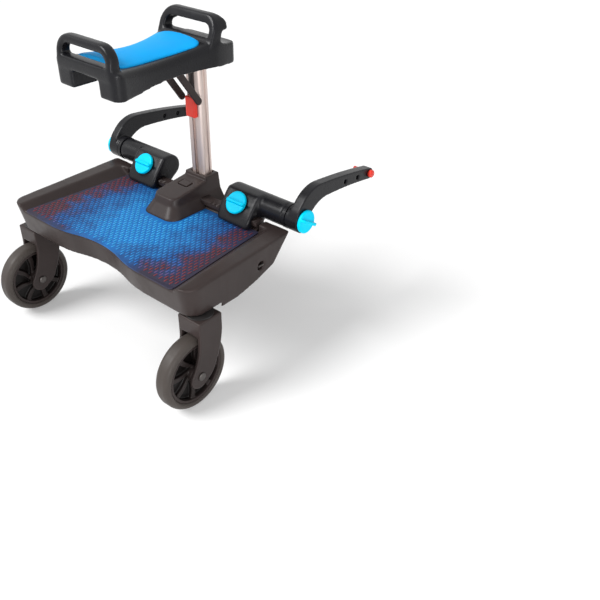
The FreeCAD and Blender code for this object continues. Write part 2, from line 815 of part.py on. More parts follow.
def saddle_socket():
    """Wedge housing that takes the saddle post at the deck's front edge."""
    base, top = S.tray_level, S.socket_top
    rear, front = socket_nose - 1, post_y + S.post_deep / 2 + S.socket_wall + 1
    foot = socket_outline(S.socket_half, 0, S.nose_corner)
    block = loft("socket_block", "XY",
                 (base - S.socket_apron - 1, foot), (base + S.socket_foot, foot),
                 (S.socket_waist_level, socket_outline(S.socket_waist, S.nose_lean, S.nose_corner_top)),
                 (top + 1, socket_outline(S.socket_neck, S.nose_lean_top, S.nose_corner_top)))
    side_view = prism("socket_side", "YZ", -S.socket_half - 1, S.socket_half + 1, [
        (rear, base), (S.deck_front + S.rail_gap, base), (S.deck_front + S.rail_gap, base - S.socket_apron),
        (front, base - S.socket_apron), (front, top),
        (S.deck_front, top), (S.deck_front, top - S.socket_step), (rear, S.nose_top)])
    body = common("socket_body", block, side_view)

    def slope_edges(edge):
        point = middle(edge)
        level = S.nose_top.value + (point.y - rear.value) * math.tan(math.radians(slope_angle()))
        return abs(point.z - level) < 0.5 and point.y < S.deck_front.value - 2

    rounded = soften("socket_rounded", body, S.socket_round, slope_edges)
    gap = S.post_gap
    hole = box((-S.post_wide / 2 - gap, post_rear - gap, base + S.socket_wall),
               (S.post_wide / 2 + gap, post_rear + S.post_deep + gap, top + OVER))
    channel = prism("socket_channel", "YZ", -S.socket_half - OVER, S.socket_half + OVER,
                    rail_profile(S.rail_gap))
    bores = [cylinder(S.screw_radius + S.pin_fit, S.screw_grip + 1, x, y, base) for x, y in SCREWS[2::3]]
    pocket = button_block(S.part_gap, S.button_travel + S.part_gap, OVER)
    part("saddle_socket", cut("socket_bored", rounded, hole, channel, pocket, *bores))


def release_button():
    """Push button in the socket's slope that lets the post go."""
    block = button_block(0, 0, S.button_proud)
    part("release_button", soften("button_rounded", block, S.button_proud / 2,
                                  lambda edge: middle(edge).z > block.Shape.BoundBox.ZMax - 7 and
                                  abs(middle(edge).z - block.Shape.CenterOfMass.z) > 2))


def caster(name, side):
    """Fork, stem, bushes, axle and wheel at one rear corner."""
    x = swivel_x * side
    half, slot = S.fork_width / 2, S.fork_slot / 2
    wheel_z = S.wheel_radius
    room = S.wheel_radius + S.fork_room
    back, front = swivel_y - S.crown_back, swivel_y + S.crown_front
    foot = S.leg_foot
    crown_low = S.crown_top - S.stem_seat

    leg = prism(f"fork_side_{name}", "YZ", x - half, x + half, [
        (axle_y - foot * 0.98, wheel_z + foot * 0.2, foot * 0.8),
        (axle_y + foot * 0.55, wheel_z - foot * 0.835, foot * 0.2),
        (axle_y + foot * 1.7, wheel_z + foot * 0.4, 4),
        (front, crown_low - 4), (front, S.crown_top), (back, S.crown_top), (back, crown_low - 10, -5)])
    tools = [cylinder(room, S.fork_slot, x - slot, axle_y, wheel_z, outward(1)),
             box((x - slot, axle_y - room, wheel_z - room), (x + slot, axle_y + room, wheel_z)),
             cylinder(S.axle_radius + S.pin_fit, S.fork_width + 2, x - half - 1, axle_y, wheel_z, outward(1)),
             cylinder(S.stem_radius + S.pin_fit, S.stem_seat + 1, x, swivel_y, crown_low)]

    part(f"caster_fork_{name}", cut(f"fork_bored_{name}", leg, *tools))

    stem = turned(f"stem_{name}", [(0, 0), (S.stem_radius, 0), (S.stem_radius, S.stem_top - crown_low - 1),
                                   (S.stem_radius - 1, S.stem_top - crown_low), (0, S.stem_top - crown_low)])
    part(f"caster_stem_{name}", put(stem, x, swivel_y, crown_low))

    inner = S.stem_radius + S.pin_fit
    outer = S.stem_radius + S.stem_bush_wall
    flange = S.corner_level - S.crown_top - S.part_gap
    bush = turned(f"stem_bush_{name}", [
        (inner, -flange), (outer + S.stem_flange, -flange), (outer + S.stem_flange, 0),
        (outer, 0), (outer, S.stem_top - S.corner_level), (inner, S.stem_top - S.corner_level)])
    part(f"stem_bush_{name}", put(bush, x, swivel_y, S.corner_level))

    axle = turned(f"axle_{name}", [
        (0, -half - 1), (S.axle_radius, -half - 1), (S.axle_radius, half),
        (S.axle_head_radius, half), (S.axle_head_radius, half + S.axle_head / 2, S.axle_head / 6),
        (S.axle_head_radius / 2, half + S.axle_head), (0, half + S.axle_head)])
    part(f"axle_bolt_{name}", put(axle, x, axle_y, wheel_z, outward(side)))
    nut = turned(f"nut_{name}", [
        (0, half + 1 + S.pin_fit), (S.axle_radius, half + 1 + S.pin_fit), (S.axle_radius, half),
        (S.axle_head_radius, half), (S.axle_head_radius, half + S.axle_head / 2, S.axle_head / 6),
        (S.axle_head_radius / 2, half + S.axle_head), (0, half + S.axle_head)])
    part(f"axle_nut_{name}", put(nut, x, axle_y, wheel_z, outward(-side)))
    wheel(name, side, x, wheel_z)


def wheel(name, side, x, wheel_z):
    """Tyre, swirl-spoked wheel and its plain bush on one axle."""
    half_tyre, half_rim = S.tyre_width / 2, S.rim_width / 2
    shoulder = S.wheel_radius - S.tyre_shoulder
    tyre = turned(f"tyre_body_{name}", [
        (S.tyre_inner, -half_rim), (S.tyre_inner + 2, -half_tyre), (shoulder, -half_tyre, 2.4),
        (S.wheel_radius, -half_tyre / 3), (S.wheel_radius, half_tyre / 3, 2.4),
        (shoulder, half_tyre), (S.tyre_inner + 2, half_tyre), (S.tyre_inner, half_rim)])
    part(f"tyre_{name}", put(tyre, x, axle_y, wheel_z, outward(side)))

    bush_out = S.axle_radius + S.pin_fit + S.bush_wall
    reach = (S.rim_inner + S.tyre_inner) / 2
    hub = new_body(f"hub_body_{name}")
    pad(hub, "XY", -half_rim, half_rim, (0, 0, S.tyre_inner), (0, 0, S.rim_inner))
    pad(hub, "XY", -S.hub_width / 2, S.hub_width / 2, (0, 0, S.hub_radius), (0, 0, bush_out))
    pad(hub, "XY", -S.web_thick / 2, S.web_thick / 2, (0, 0, reach), (0, 0, bush_out))
    swirl = math.radians(S.spoke_swirl.value)
    lean_x, lean_y = math.cos(swirl), math.sin(swirl)
    root = S.hub_radius - 2
    spoke = pad(hub, "XY", -S.spoke_width / 2, S.spoke_width / 2, [
        (root, -S.spoke_root / 2, -S.spoke_bow),
        (reach * lean_x + S.spoke_tip / 2 * lean_y, reach * lean_y - S.spoke_tip / 2 * lean_x),
        (reach * lean_x - S.spoke_tip / 2 * lean_y, reach * lean_y + S.spoke_tip / 2 * lean_x, S.spoke_bow),
        (root, S.spoke_root / 2)])
    pattern = hub.newObject("PartDesign::PolarPattern", "spokes")
    pattern.Originals = [spoke]
    axis = [line for line in hub.Origin.OriginFeatures if line.Role == "Z_Axis"][0]
    pattern.Axis = (axis, [""])
    pattern.Angle = 360
    pattern.Occurrences = int(S.spoke_count.value)
    bind(pattern, "Occurrences", S.spoke_count)
    hub.Tip = pattern
    part(f"wheel_hub_{name}", put(hub, x, axle_y, wheel_z, outward(side)))

    inner = S.axle_radius + S.pin_fit
    long = (S.fork_slot / 2) - S.part_gap
    bush = turned(f"wheel_bush_body_{name}", [
        (inner, -long), (bush_out, -long), (bush_out, long), (inner, long)])
    part(f"wheel_bush_{name}", put(bush, x, axle_y, wheel_z, outward(side)))


def knob_body(label, bore):
    """A round knob with a finger fin, seated at its own origin with its Z axis outwards."""
    disc = turned(label + "_disc", [
        (0, 0), (S.knob_radius - 1, 0), (S.knob_radius, 1), (S.knob_radius, S.knob_disc - S.knob_round,
         S.knob_round * CORNER), (S.knob_radius - S.knob_round, S.knob_disc), (0, S.knob_disc)])
    fin = prism(label + "_fin", "XZ", -S.knob_fin / 2, S.knob_fin / 2, [
        (-S.knob_radius, S.knob_disc / 2), (S.knob_radius + 1.5, S.knob_disc / 2),
        (S.knob_radius + 1.5, S.knob_disc + S.knob_fin_high * 0.6, 1),
        (S.knob_radius - 6, S.knob_disc + S.knob_fin_high),
        (-S.knob_radius + 6, S.knob_disc + S.knob_fin_high, 2)])
    whole = fuse(label + "_whole", disc, fin)
    return cut(label + "_bored", whole, cylinder(bore, S.knob_disc, 0, 0, -1)) if bore else whole


def clamp_turn():
    """Turns a piece's Z axis to the clamp screw's outward way."""
    return Rotation(Vector(1, 0, 0), 90 - S.clamp_tilt.value)


def along_clamp(depth):
    """Y and Z of a point on the clamp screw's axis, a depth below the knob seat."""
    tilt = math.radians(S.clamp_tilt.value)
    return (S.deck_front - S.clamp_back + depth * math.cos(tilt), S.clamp_level - depth * math.sin(tilt))


def jaw_outline(gap):
    """The clamp jaw's side view: a face square to the screw and a foot over the rail."""
    tilt = math.radians(S.clamp_tilt.value)
    y, z = along_clamp(S.clamp_reach + S.part_gap)
    across_y, across_z = S.jaw_half * math.sin(tilt), S.jaw_half * math.cos(tilt)
    foot = rail_top + S.rail_gap
    return [(y - across_y - gap, foot), (S.deck_front + gap, foot),
            (y + across_y + S.jaw_drop * math.cos(tilt) + gap, z + across_z - S.jaw_drop * math.sin(tilt)),
            (y + across_y, z + across_z + gap), (y - across_y - gap, z - across_z + gap)]


def extender(name, side):
    """Clamp housing with its tube, jaw, knob, ring, bolt, arm, arm knob and lock pin."""
    low, high = span(side, S.block_in, S.block_out)
    foot = S.tray_level + S.mat_thick + S.block_foot_gap
    rear = S.deck_front - S.block_rear
    top = S.tube_level + S.tube_radius
    side_view = prism(f"block_side_{name}", "YZ", low, high, [
        (rear + 3, foot), (S.deck_front + S.block_front, foot),
        (tube_y + S.tube_radius * 0.8, S.tube_level - S.tube_radius * 0.6), (tube_y, S.tube_level),
        (tube_y, top), (S.deck_front, top, 2), (rear, S.block_shoulder)])
    corner = S.block_round
    plan = prism(f"block_plan_{name}", "XY", foot - 1, top + 1, [
        (low, tube_y + S.tube_radius), (low, rear + corner, corner * CORNER), (low + corner, rear),
        (high - corner, rear, corner * CORNER), (high, rear + corner), (high, tube_y + S.tube_radius)])
    block = common(f"block_{name}", side_view, plan)
    tube_from, tube_to = span(side, S.block_in, S.tube_end)
    tube = cylinder(S.tube_radius, tube_to - tube_from, tube_from, tube_y, S.tube_level, outward(1))
    knob_x = (S.block_in + S.block_out) / 2 * side
    seat_y, seat_z = along_clamp(S.clamp_seat_deep)
    seat = cylinder(S.clamp_seat, S.clamp_seat_deep, knob_x, seat_y, seat_z, clamp_turn())
    whole = fuse(f"housing_whole_{name}", block, tube, seat)
    tip_y, tip_z = along_clamp(S.clamp_reach)
    channel = prism(f"housing_channel_{name}", "YZ", low - OVER, high + OVER, rail_profile(S.rail_gap))
    jaw_low, jaw_high = knob_x - S.jaw_half - S.part_gap, knob_x + S.jaw_half + S.part_gap
    tools = [channel,
             prism(f"jaw_pocket_{name}", "YZ", jaw_low, jaw_high, jaw_outline(S.part_gap)),
             cylinder(S.clamp_screw + S.pin_fit, S.clamp_reach + OVER, knob_x, tip_y, tip_z, clamp_turn()),
             cylinder(S.bolt_radius + S.pin_fit, S.bolt_grip + 1, (S.tube_end - S.bolt_grip) * side, tube_y,
                      S.tube_level, outward(side))]
    part(f"extender_housing_{name}", cut(f"housing_bored_{name}", whole, *tools))

    jaw = prism(f"jaw_{name}", "YZ", knob_x - S.jaw_half, knob_x + S.jaw_half, jaw_outline(0))
    part(f"clamp_jaw_{name}", jaw)
    knob = knob_body(f"clamp_knob_body_{name}", None)
    knob_y, knob_z = along_clamp(-S.part_gap)
    part(f"clamp_knob_{name}", put(knob, knob_x, knob_y, knob_z, clamp_turn()))
    screw = cylinder(S.clamp_screw, S.clamp_reach + S.part_gap, knob_x, tip_y, tip_z, clamp_turn())
    part(f"clamp_screw_{name}", screw)

    ring_body = turned(f"ring_{name}", [
        (S.bolt_radius + S.pin_fit, 0),
        (S.tube_radius + S.part_gap, 0), (S.tube_radius + S.part_gap, S.ring_long),
        (S.bolt_radius + S.pin_fit, S.ring_long)])
    part(f"tube_ring_{name}", put(ring_body, S.tube_end * side, tube_y, S.tube_level, outward(side)))
    bolt_long = S.bolt_grip + S.ring_long + S.hub_long + 2 * S.part_gap + S.knob_disc / 2
    bolt_x = (S.tube_end - S.bolt_grip) * side
    bolt = cylinder(S.bolt_radius, bolt_long, bolt_x, tube_y, S.tube_level, outward(side))
    part(f"arm_bolt_{name}", bolt)
    connector_arm(name, side)
    arm_knob = knob_body(f"arm_knob_body_{name}", S.bolt_radius + S.pin_fit)
    turn = outward(side).multiply(Rotation(Vector(0, 0, 1), 60))
    part(f"arm_knob_{name}", put(arm_knob, (arm_out + S.part_gap) * side, tube_y, S.tube_level, turn))


def connector_arm(name, side):
    """Curved arm that reaches forward to the pram, with its lock pin."""
    hub = cylinder(S.tube_radius, S.hub_long, arm_in * side, tube_y, S.tube_level, outward(side))
    low, high = span(side, arm_out - S.arm_thick, arm_out)
    y, z = tube_y, S.tube_level
    tip = y + S.arm_reach
    round_tip = S.arm_tip_high / 2
    plate = prism(f"arm_plate_{name}", "YZ", low, high, [
        (y + S.tube_radius * 0.5, z), (y + S.tube_radius * 0.9, z + S.tube_radius * 0.4, -S.arm_elbow_bow),
        (y + S.arm_elbow, z + S.arm_elbow_rise, -S.arm_camber),
        (tip - round_tip, z + S.arm_tip_rise, round_tip * 0.98),
        (tip - round_tip + 2, z + S.arm_tip_rise + S.arm_tip_high, S.arm_camber),
        (y + S.arm_shoulder, z + S.arm_rise, S.arm_shoulder_bow),
        (y - S.tube_radius * 0.25, z + S.tube_radius * 1.45, 2),
        (y - S.tube_radius * 0.9, z + S.tube_radius * 0.4)])
    holes = [cylinder(S.bolt_radius + S.pin_fit, S.hub_long + 2, (arm_in - 1) * side, y, z, outward(side))]
    for i in range(3):
        hole_y, hole_z = tip - S.hole_back - S.hole_pitch * i, z + S.hole_rise + S.hole_step * i
        holes.append(cylinder(S.hole_radius, S.arm_thick + 2, (arm_out - S.arm_thick - 1) * side,
                              hole_y, hole_z, outward(side)))
    part(f"connector_arm_{name}", cut(f"arm_bored_{name}", fuse(f"arm_whole_{name}", hub, plate), *holes))

    grip = S.arm_thick + S.part_gap
    pin = turned(f"pin_{name}", [
        (0, -S.pin_long), (S.peg_radius - 1, -S.pin_long),
        (S.peg_radius, 1 - S.pin_long), (S.peg_radius, -grip),
        (S.pin_radius, -grip), (S.pin_radius, 0),
        (S.pin_head_radius, 0), (S.pin_head_radius, S.pin_head - 1), (S.pin_head_radius - 1, S.pin_head),
        (0, S.pin_head)])
    part(f"lock_pin_{name}", put(pin, (arm_out + S.part_gap) * side, tip - S.hole_back, z + S.hole_rise,
                                 outward(side)))


def saddle_post():
    """Fluted post with its hinge head."""
    half, deep, corner = S.post_wide / 2, S.post_deep / 2, S.post_corner
    slot, flute = S.post_slot / 2, S.post_flute / 2
    rear, front = post_y - deep, post_y + deep
    right = [
        (slot, rear + S.post_slot_deep), (slot, rear), (half - corner, rear, corner * CORNER),
        (half, rear + corner), (half, post_y - flute), (half - S.post_flute_deep, post_y - flute),
        (half - S.post_flute_deep, post_y + flute), (half, post_y + flute),
        (half, front - corner, corner * CORNER),
        (half - corner, front)]
    wall = S.post_wall
    bore = both_sides([(half - wall * 2, rear + S.post_slot_deep + wall), (half - wall * 2, front - wall)])
    part("saddle_post", prism("post_extrusion", "XY", S.post_foot, S.post_top, both_sides(right), bore))

    head_front = hinge_y + S.lug_radius
    head = fuse("head_whole",
                box((-half, post_rear, S.post_top), (half, post_rear + S.post_deep, S.hinge_level)),
                cylinder(S.lug_radius, S.post_wide, -half, hinge_y, S.hinge_level, outward(1)),
                box((-half, hinge_y, S.hinge_level - 2), (half, head_front, S.hinge_level)))
    hole = cylinder(S.hinge_pin + S.pin_fit, S.post_wide + 2, -half - 1, hinge_y, S.hinge_level, outward(1))
    part("post_head", cut("head_bored", head, hole))


def saddle_outline(inset):
    """The saddle's plan, drawn in along both sides."""
    corner = S.saddle_corner
    rear, front = saddle_rear + inset, saddle_front - inset
    half_rear, half_front = S.saddle_half_rear - inset, S.saddle_half_front - inset
    shoulder = S.deck_front + S.front_handle_back
    return both_sides([
        (half_rear - corner, rear, corner * CORNER), (half_rear, rear + corner, -S.saddle_waist),
        (half_front, shoulder, 1), (S.saddle_half_nose - inset, front - corner, corner * CORNER),
        (S.saddle_half_nose - corner - inset, front)])


def handle(label, profile, base, top):
    """An upright hand loop across the saddle, with the side view given by a profile."""
    half, bar, corner = S.handle_half, S.handle_bar, S.handle_corner
    inner = corner - bar
    sill = base + 5
    arch = prism(label + "_arch", "XZ", saddle_rear - OVER, saddle_front + OVER,
                 both_sides([(half - 1, base - 12), (half, top - corner, corner * CORNER),
                             (half - corner, top)]),
                 both_sides([(half - bar, sill), (half - bar, top - bar - inner, inner * CORNER),
                             (half - bar - inner, top - bar)]))
    return common(label, arch, prism(label + "_side", "YZ", -half - 1, half + 1, profile))


def saddle_shell():
    """Hollow saddle with two hand loops and cheeks for the hinge and strut pins."""
    reach = S.saddle_half_rear + 1
    rear, front = saddle_rear - 1, saddle_front + 1
    dip_from, dip_to = saddle_rear + S.handle_deep, S.deck_front - S.front_handle_back
    plan = prism("saddle_plan", "XY", S.saddle_low - 10, S.saddle_edge_front + 10, saddle_outline(0))
    side = prism("saddle_side", "YZ", -reach, reach, [
        (rear, S.saddle_low), (saddle_rear + S.saddle_rear * 0.25, S.saddle_low, -S.saddle_low_bow),
        (front, S.saddle_low), (front, S.saddle_nose_top, -S.saddle_nose_bow),
        (dip_to + S.handle_deep, S.saddle_edge_front), (dip_to, S.saddle_edge_front, -S.saddle_dip),
        (dip_from, S.saddle_edge_rear), (rear, S.saddle_edge_rear)])
    body = common("saddle_block", plan, side)

    def top_edges(edge):
        point = middle(edge)
        return point.z > saddle_roof.value - 2 and abs(point.x) > S.saddle_half_nose.value * 0.75 \
            and edge.Length > S.saddle_half_nose.value / 2 and abs(heading(edge).x) < 0.7

    rounded = soften("saddle_rounded", body, S.saddle_round, top_edges)
    wall = S.saddle_wall
    hollow = prism("saddle_hollow", "XY", S.saddle_low - OVER, saddle_roof, saddle_outline(wall))
    hinge_room = box((-cheek_in, hinge_y - S.lug_radius * 1.8, S.saddle_low),
                     (cheek_in, hinge_y + S.lug_radius * 1.8, (S.saddle_edge_front - S.hinge_skin)))
    notch_half = S.socket_waist + S.notch_gap
    notch = box((-notch_half, rear - 1, S.saddle_low - OVER),
                (notch_half, saddle_rear + wall + S.saddle_corner, saddle_roof - S.notch_drop))
    open_shell = cut("saddle_open", rounded, hollow, hinge_room, notch)
    cheeks = []
    for side_sign in SIDES.values():
        low, high = span(side_sign, notch_half, notch_half + wall)
        cheeks.append(box((low, saddle_rear + wall / 2, S.saddle_low),
                          (high, saddle_rear + S.notch_rib, saddle_roof + 1)))
        low, high = span(side_sign, cheek_in, cheek_out)
        cheeks.append(prism("cheek", "YZ", low, high, [
            (strut_y - 9, S.saddle_low), (strut_y + 9, S.saddle_low), (hinge_y - 9, S.hinge_level - 9),
            (hinge_y + 10, S.hinge_level - 9), (hinge_y + 12, saddle_roof + 1),
            (strut_y - 12, saddle_roof + 1)]))
    rear_base, rear_top = S.saddle_edge_rear, S.saddle_edge_rear + S.handle_rise_rear
    rear_loop = handle("rear_loop", [
        (saddle_rear - 1, rear_base - 12), (saddle_rear + S.handle_deep, rear_base - 12),
        (saddle_rear + S.handle_deep + S.handle_lean, rear_top), (saddle_rear + S.handle_lean, rear_top),
        (saddle_rear - 1, rear_base)], rear_base, rear_top)

    def loop_edges(edge):
        return abs(heading(edge).y) < 0.6 and middle(edge).z > rear_base.value + 8

    loops = [soften("rear_loop_rounded", rear_loop, S.handle_round, loop_edges)]
    base, top = S.saddle_edge_front, S.saddle_edge_front + S.handle_rise_front
    foot_front, lean = dip_to + S.handle_deep, S.front_handle_lean
    loops.append(handle("front_loop", [
        (dip_to, base - 12), (foot_front, base - 12), (foot_front + lean / 2, base + S.lobe_low),
        (foot_front + lean / 2 + S.handle_lip, base + S.lobe_low),
        (foot_front + lean / 2 + S.handle_lip + S.lobe_out, base + S.lobe_high, S.lobe_bow),
        (foot_front + S.handle_lip, top), (dip_to + lean, top), (dip_to, base)], base, top))
    whole = fuse("saddle_whole", open_shell, *cheeks, *loops)
    tools = [cylinder(radius + S.pin_fit, cheek_out * 2 + 2, -cheek_out - 1, y, z, outward(1))
             for radius, y, z in ((S.hinge_pin, hinge_y, S.hinge_level), (S.strut_pin, strut_y, strut_z))]
    part("saddle_shell", cut("saddle_bored", whole, *tools))

    part("hinge_pin", cylinder(S.hinge_pin, cheek_out * 2, -cheek_out, hinge_y, S.hinge_level, outward(1)))
    stubs = [cylinder(S.strut_pin, cheek_out - plate_in, plate_in * side_sign, strut_y, strut_z,
                      outward(side_sign))
             for side_sign in SIDES.values()]
    part("strut_pin", compound("strut_stubs", stubs))


def fold_strut():
    """Pair of brace plates from the saddle down to the slider, one on each side of the post."""
    run, drop = S.slider_pin_ahead.value, S.slider_pin_down.value
    length = math.hypot(run, drop)
    across_y, across_z = drop / length, run / length
    half = S.strut_half
    plates = []
    for side in SIDES.values():
        low, high = span(side, plate_in, plate_out)
        plate = prism("strut_plate", "YZ", low, high, [
            (strut_y - half * across_y, strut_z - half * across_z),
            (slider_pin_y - half * across_y, slider_pin_z - half * across_z, half * 0.98),
            (slider_pin_y + half * across_y, slider_pin_z + half * across_z),
            (strut_y + half * across_y, strut_z + half * across_z, half * 0.98)])
        plates.append(plate)
    hole = cylinder(S.strut_pin + S.pin_fit, plate_out * 2 + 2, -plate_out - 1, strut_y, strut_z, outward(1))
    part("fold_strut", cut("strut_bored", compound("strut_plates", plates), hole))


def lock_slider():
    """Red slider that runs in the post's rear slot and locks the fold."""
    half = S.slider_wide / 2
    face = post_rear - S.post_gap
    top = slider_pin_z + S.slider_pin_in
    plate = box((-half, face - S.slider_deep, top - S.slider_high), (half, face, top))

    def outer(edge):
        return middle(edge).y < number(face) - number(S.slider_deep) / 2

    rounded = soften("slider_rounded", plate, S.slider_deep / 4, outer)
    tongue_half = S.post_slot / 2 - S.post_gap
    tongue = box((-tongue_half, face - 1, top - S.slider_high),
                 (tongue_half, face + S.post_slot_deep - S.post_gap, top))
    part("lock_slider", fuse("slider_whole", rounded, tongue))


def saddle_pad():
    """Soft pad, crowned across and drawn in at its waist and lower edge."""
    rear, front = S.deck_front - S.pad_rear, S.deck_front - S.pad_front
    sections = []
    for share in (0, 0.06, 0.25, 0.5, 0.75, 0.94, 1):
        away = 1 - (2 * share - 1) ** 2
        level = S.saddle_edge_rear + (S.saddle_edge_front - S.saddle_edge_rear) * share
        base = level + S.part_gap - S.saddle_dip * min(1, away * 1.02) * 0.97
        end = S.pad_half_rear if share < 0.5 else S.pad_half_front
        ease = max(0, 1 - abs(2 * share - 1)) ** 0.7
        half = end - (end - S.pad_half_waist) * ease
        thick = S.pad_thick_end - (S.pad_thick_end - S.pad_thick_waist) * away
        crown = S.pad_crown
        if share in (0, 1):
            half, thick, crown = half * 0.86, thick * 0.45, crown * 0.45
        shoulder = half - S.pad_side_bow
        sections.append((rear + (front - rear) * share, both_sides([
            (shoulder, base, S.pad_side_bow), (shoulder, base + thick, crown)], ())))
    part("saddle_pad", loft("pad", "XZ", *sections))


deck_tray()
grip_mat()
strap_pins()
front_rail()
deck_screws()
saddle_socket()
release_button()
for side_name, side_sign in SIDES.items():
    caster(side_name, side_sign)
    extender(side_name, side_sign)
saddle_post()
saddle_shell()
saddle_pad()
fold_strut()
lock_slider()
doc.recompute()

# Every object must have come out whole before anything is written
failed = [thing.Label for thing in doc.Objects if "Invalid" in thing.State or "Error" in thing.State]
if failed:
    raise RuntimeError("failed: " + ", ".join(failed))
for thing in PARTS:
    if thing.Shape.isNull() or not thing.Shape.isValid() or not thing.Shape.Solids:
        raise RuntimeError(f"{thing.Label} has no valid solid")
os.makedirs("parts", exist_ok=True)
for thing in PARTS:
    thing.Shape.exportStep(os.path.join("parts", thing.Label + ".step"))
    print(thing.Label, len(thing.Shape.Solids), "solid", round(thing.Shape.Volume), "mm3")
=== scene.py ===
"""Looks of a ride-on buggy board with a folding saddle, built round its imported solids."""
import json
import math

import bmesh
import bpy
import numpy as np
from bpy.props import FloatProperty, FloatVectorProperty, PointerProperty
from mathutils import Matrix, Vector
from mathutils.bvhtree import BVHTree


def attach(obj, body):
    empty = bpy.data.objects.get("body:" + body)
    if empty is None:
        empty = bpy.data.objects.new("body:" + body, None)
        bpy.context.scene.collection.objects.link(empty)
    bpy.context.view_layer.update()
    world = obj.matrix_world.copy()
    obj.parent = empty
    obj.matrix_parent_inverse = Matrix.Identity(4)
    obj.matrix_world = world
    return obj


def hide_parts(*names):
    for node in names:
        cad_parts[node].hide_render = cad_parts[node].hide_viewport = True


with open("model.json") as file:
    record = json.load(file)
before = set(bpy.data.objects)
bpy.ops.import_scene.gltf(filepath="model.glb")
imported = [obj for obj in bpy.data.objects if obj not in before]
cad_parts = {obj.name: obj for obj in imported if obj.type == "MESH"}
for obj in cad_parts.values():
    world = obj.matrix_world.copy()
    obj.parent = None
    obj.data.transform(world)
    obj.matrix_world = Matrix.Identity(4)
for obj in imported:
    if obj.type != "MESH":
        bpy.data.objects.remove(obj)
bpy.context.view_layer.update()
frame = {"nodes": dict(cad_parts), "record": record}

bl_info = {
    "name": "Buggy board",
    "version": (1, 0, 0),
    "blender": (4, 5, 0),
    "location": "View3D > Sidebar > Buggy board",
    "description": "Dresses the solids of a ride-on buggy board",
    "category": "Object",
}

MM = 0.001
BODIES = frame["record"]["behaviour"]["bodies"]
BODY_OF = {node: body for body, nodes in BODIES.items() for node in nodes}
SIDES = ("right", "left")
SHARP_EDGE = math.radians(30)
IMAGE_SIZE = 600
FOCAL_PIXELS = 748.04
SENSOR = 36.0
FINISHES = {}

# Voxel size in millimetres and relaxing passes that round the edges of each kind of piece
ROUNDING = {
    "deck_tray": (1.95, 3),
    "saddle_socket": (1.1, 8),
    "release_button": (0.5, 16),
    "caster_fork": (1.1, 8),
    "wheel_hub": (1.0, 4),
    "extender_housing": (1.2, 40),
    "connector_arm": (1.0, 6),
    "clamp_knob": (0.7, 5),
    "arm_knob": (0.7, 5),
    "post_head": (0.8, 4),
    "saddle_shell": (1.5, 14),
    "fold_strut": (0.8, 4),
    "lock_slider": (0.7, 5),
}

# The mat's brightest place, its flattening, and the distances from there over which its colours change
MAT_HEART = (0.0, -0.075, 0.2)
MAT_FLAT = (1.0, 0.85, 0.0)
MAT_BANDS = ((0.055, 0.125), (0.12, 0.165))
DASH_BANDS = ((0.05, 0.12), (0.125, 0.15))

# Points round a dash, and the width and height of its rings as shares of its own
DASH_POINTS = 10
DASH_RINGS = ((1.0, -0.5), (1.0, 0.3), (0.86, 0.75), (0.5, 1.0))

# Rings along the pad and points round each
PAD_RINGS = 96
PAD_POINTS = 72

# Powers and shares that form the pad: its waist, its section over and under the belly, its sunk ends
WAIST_POWER = 1.7
TOP_SIDE, TOP_RISE = 0.32, 0.6
FOOT_SIDE, FOOT_RISE = 0.1, 0.1
PAD_BELLY = 0.4
END_SINK = 0.45

# Light and floor
FLOOR_HALF = 6.0
LIT_POINT = Vector((0, 0, 0.25))
KEY_PLACE = (-0.85, -1.25, 1.75)
KEY_ANGLE = math.radians(32)
FILL_PLACE = (1.7, -0.6, 0.9)
FILL_SIZE = 1.2
GLINT_PLACE = (1.14, -1.08, 0.42)
GLINT_SIZE = 0.40


def colour(name, description, default):
    """A colour property in scene-linear values."""
    return FloatVectorProperty(name=name, description=description, subtype="COLOR", size=3,
                               min=0, max=1, default=default)


def length(name, description, millimetres):
    """A length property, given in millimetres and kept in metres."""
    return FloatProperty(name=name, description=description, default=millimetres * MM, unit="LENGTH",
                         subtype="DISTANCE", precision=5)


def angle(name, description, degrees):
    """An angle property, given in degrees and kept in radians."""
    return FloatProperty(name=name, description=description, subtype="ANGLE",
                         default=math.radians(degrees))


def strength(name, description, default, subtype="NONE"):
    """A plain number or a lamp's power."""
    return FloatProperty(name=name, description=description, default=default, subtype=subtype)


class BuggyColours(bpy.types.PropertyGroup):
    """Colours of the finishes."""
    black: colour("Black plastic", "Warm charcoal of deck, socket and forks", (0.0350, 0.0258, 0.0245))
    ink: colour("Ink plastic", "Blue black of extenders and saddle", (0.0070, 0.0070, 0.0088))
    tyre: colour("Tyre", "Warm grey of the tyres", (0.050, 0.041, 0.036))
    cyan: colour("Knobs", "Bright cyan of the knobs", (0.0, 0.63, 0.95))
    red: colour("Signals", "Red of pins and slider", (0.78, 0.035, 0.018))
    azure: colour("Pad", "Azure of the saddle pad", (0.0, 0.40, 0.92))
    silver: colour("Post", "Anodised silver of the post", (0.63, 0.53, 0.49))
    steel: colour("Steel", "Zinc-plated screws", (0.42, 0.41, 0.40))
    dark_steel: colour("Dark steel", "Blackened axles and strap pins", (0.10, 0.092, 0.088))
    nylon: colour("Bushes", "Dark nylon of the bushes", (0.016, 0.015, 0.015))
    mat_middle: colour("Mat middle", "Bright blue in the mat's middle", (0.008, 0.17, 0.52))
    mat_between: colour("Mat between", "Navy between middle and ends", (0.014, 0.045, 0.150))
    mat_end: colour("Mat ends", "Near black towards the mat's ends", (0.030, 0.022, 0.034))
    dash_middle: colour("Middle dashes", "Light blue dashes in the middle", (0.05, 0.42, 0.80))
    dash_between: colour("Outer dashes", "Blue dashes further out", (0.02, 0.16, 0.50))
    dash_end: colour("End dashes", "Dark red dashes at the ends", (0.19, 0.032, 0.036))
    floor: colour("Floor", "Pale floor", (0.80, 0.80, 0.80))


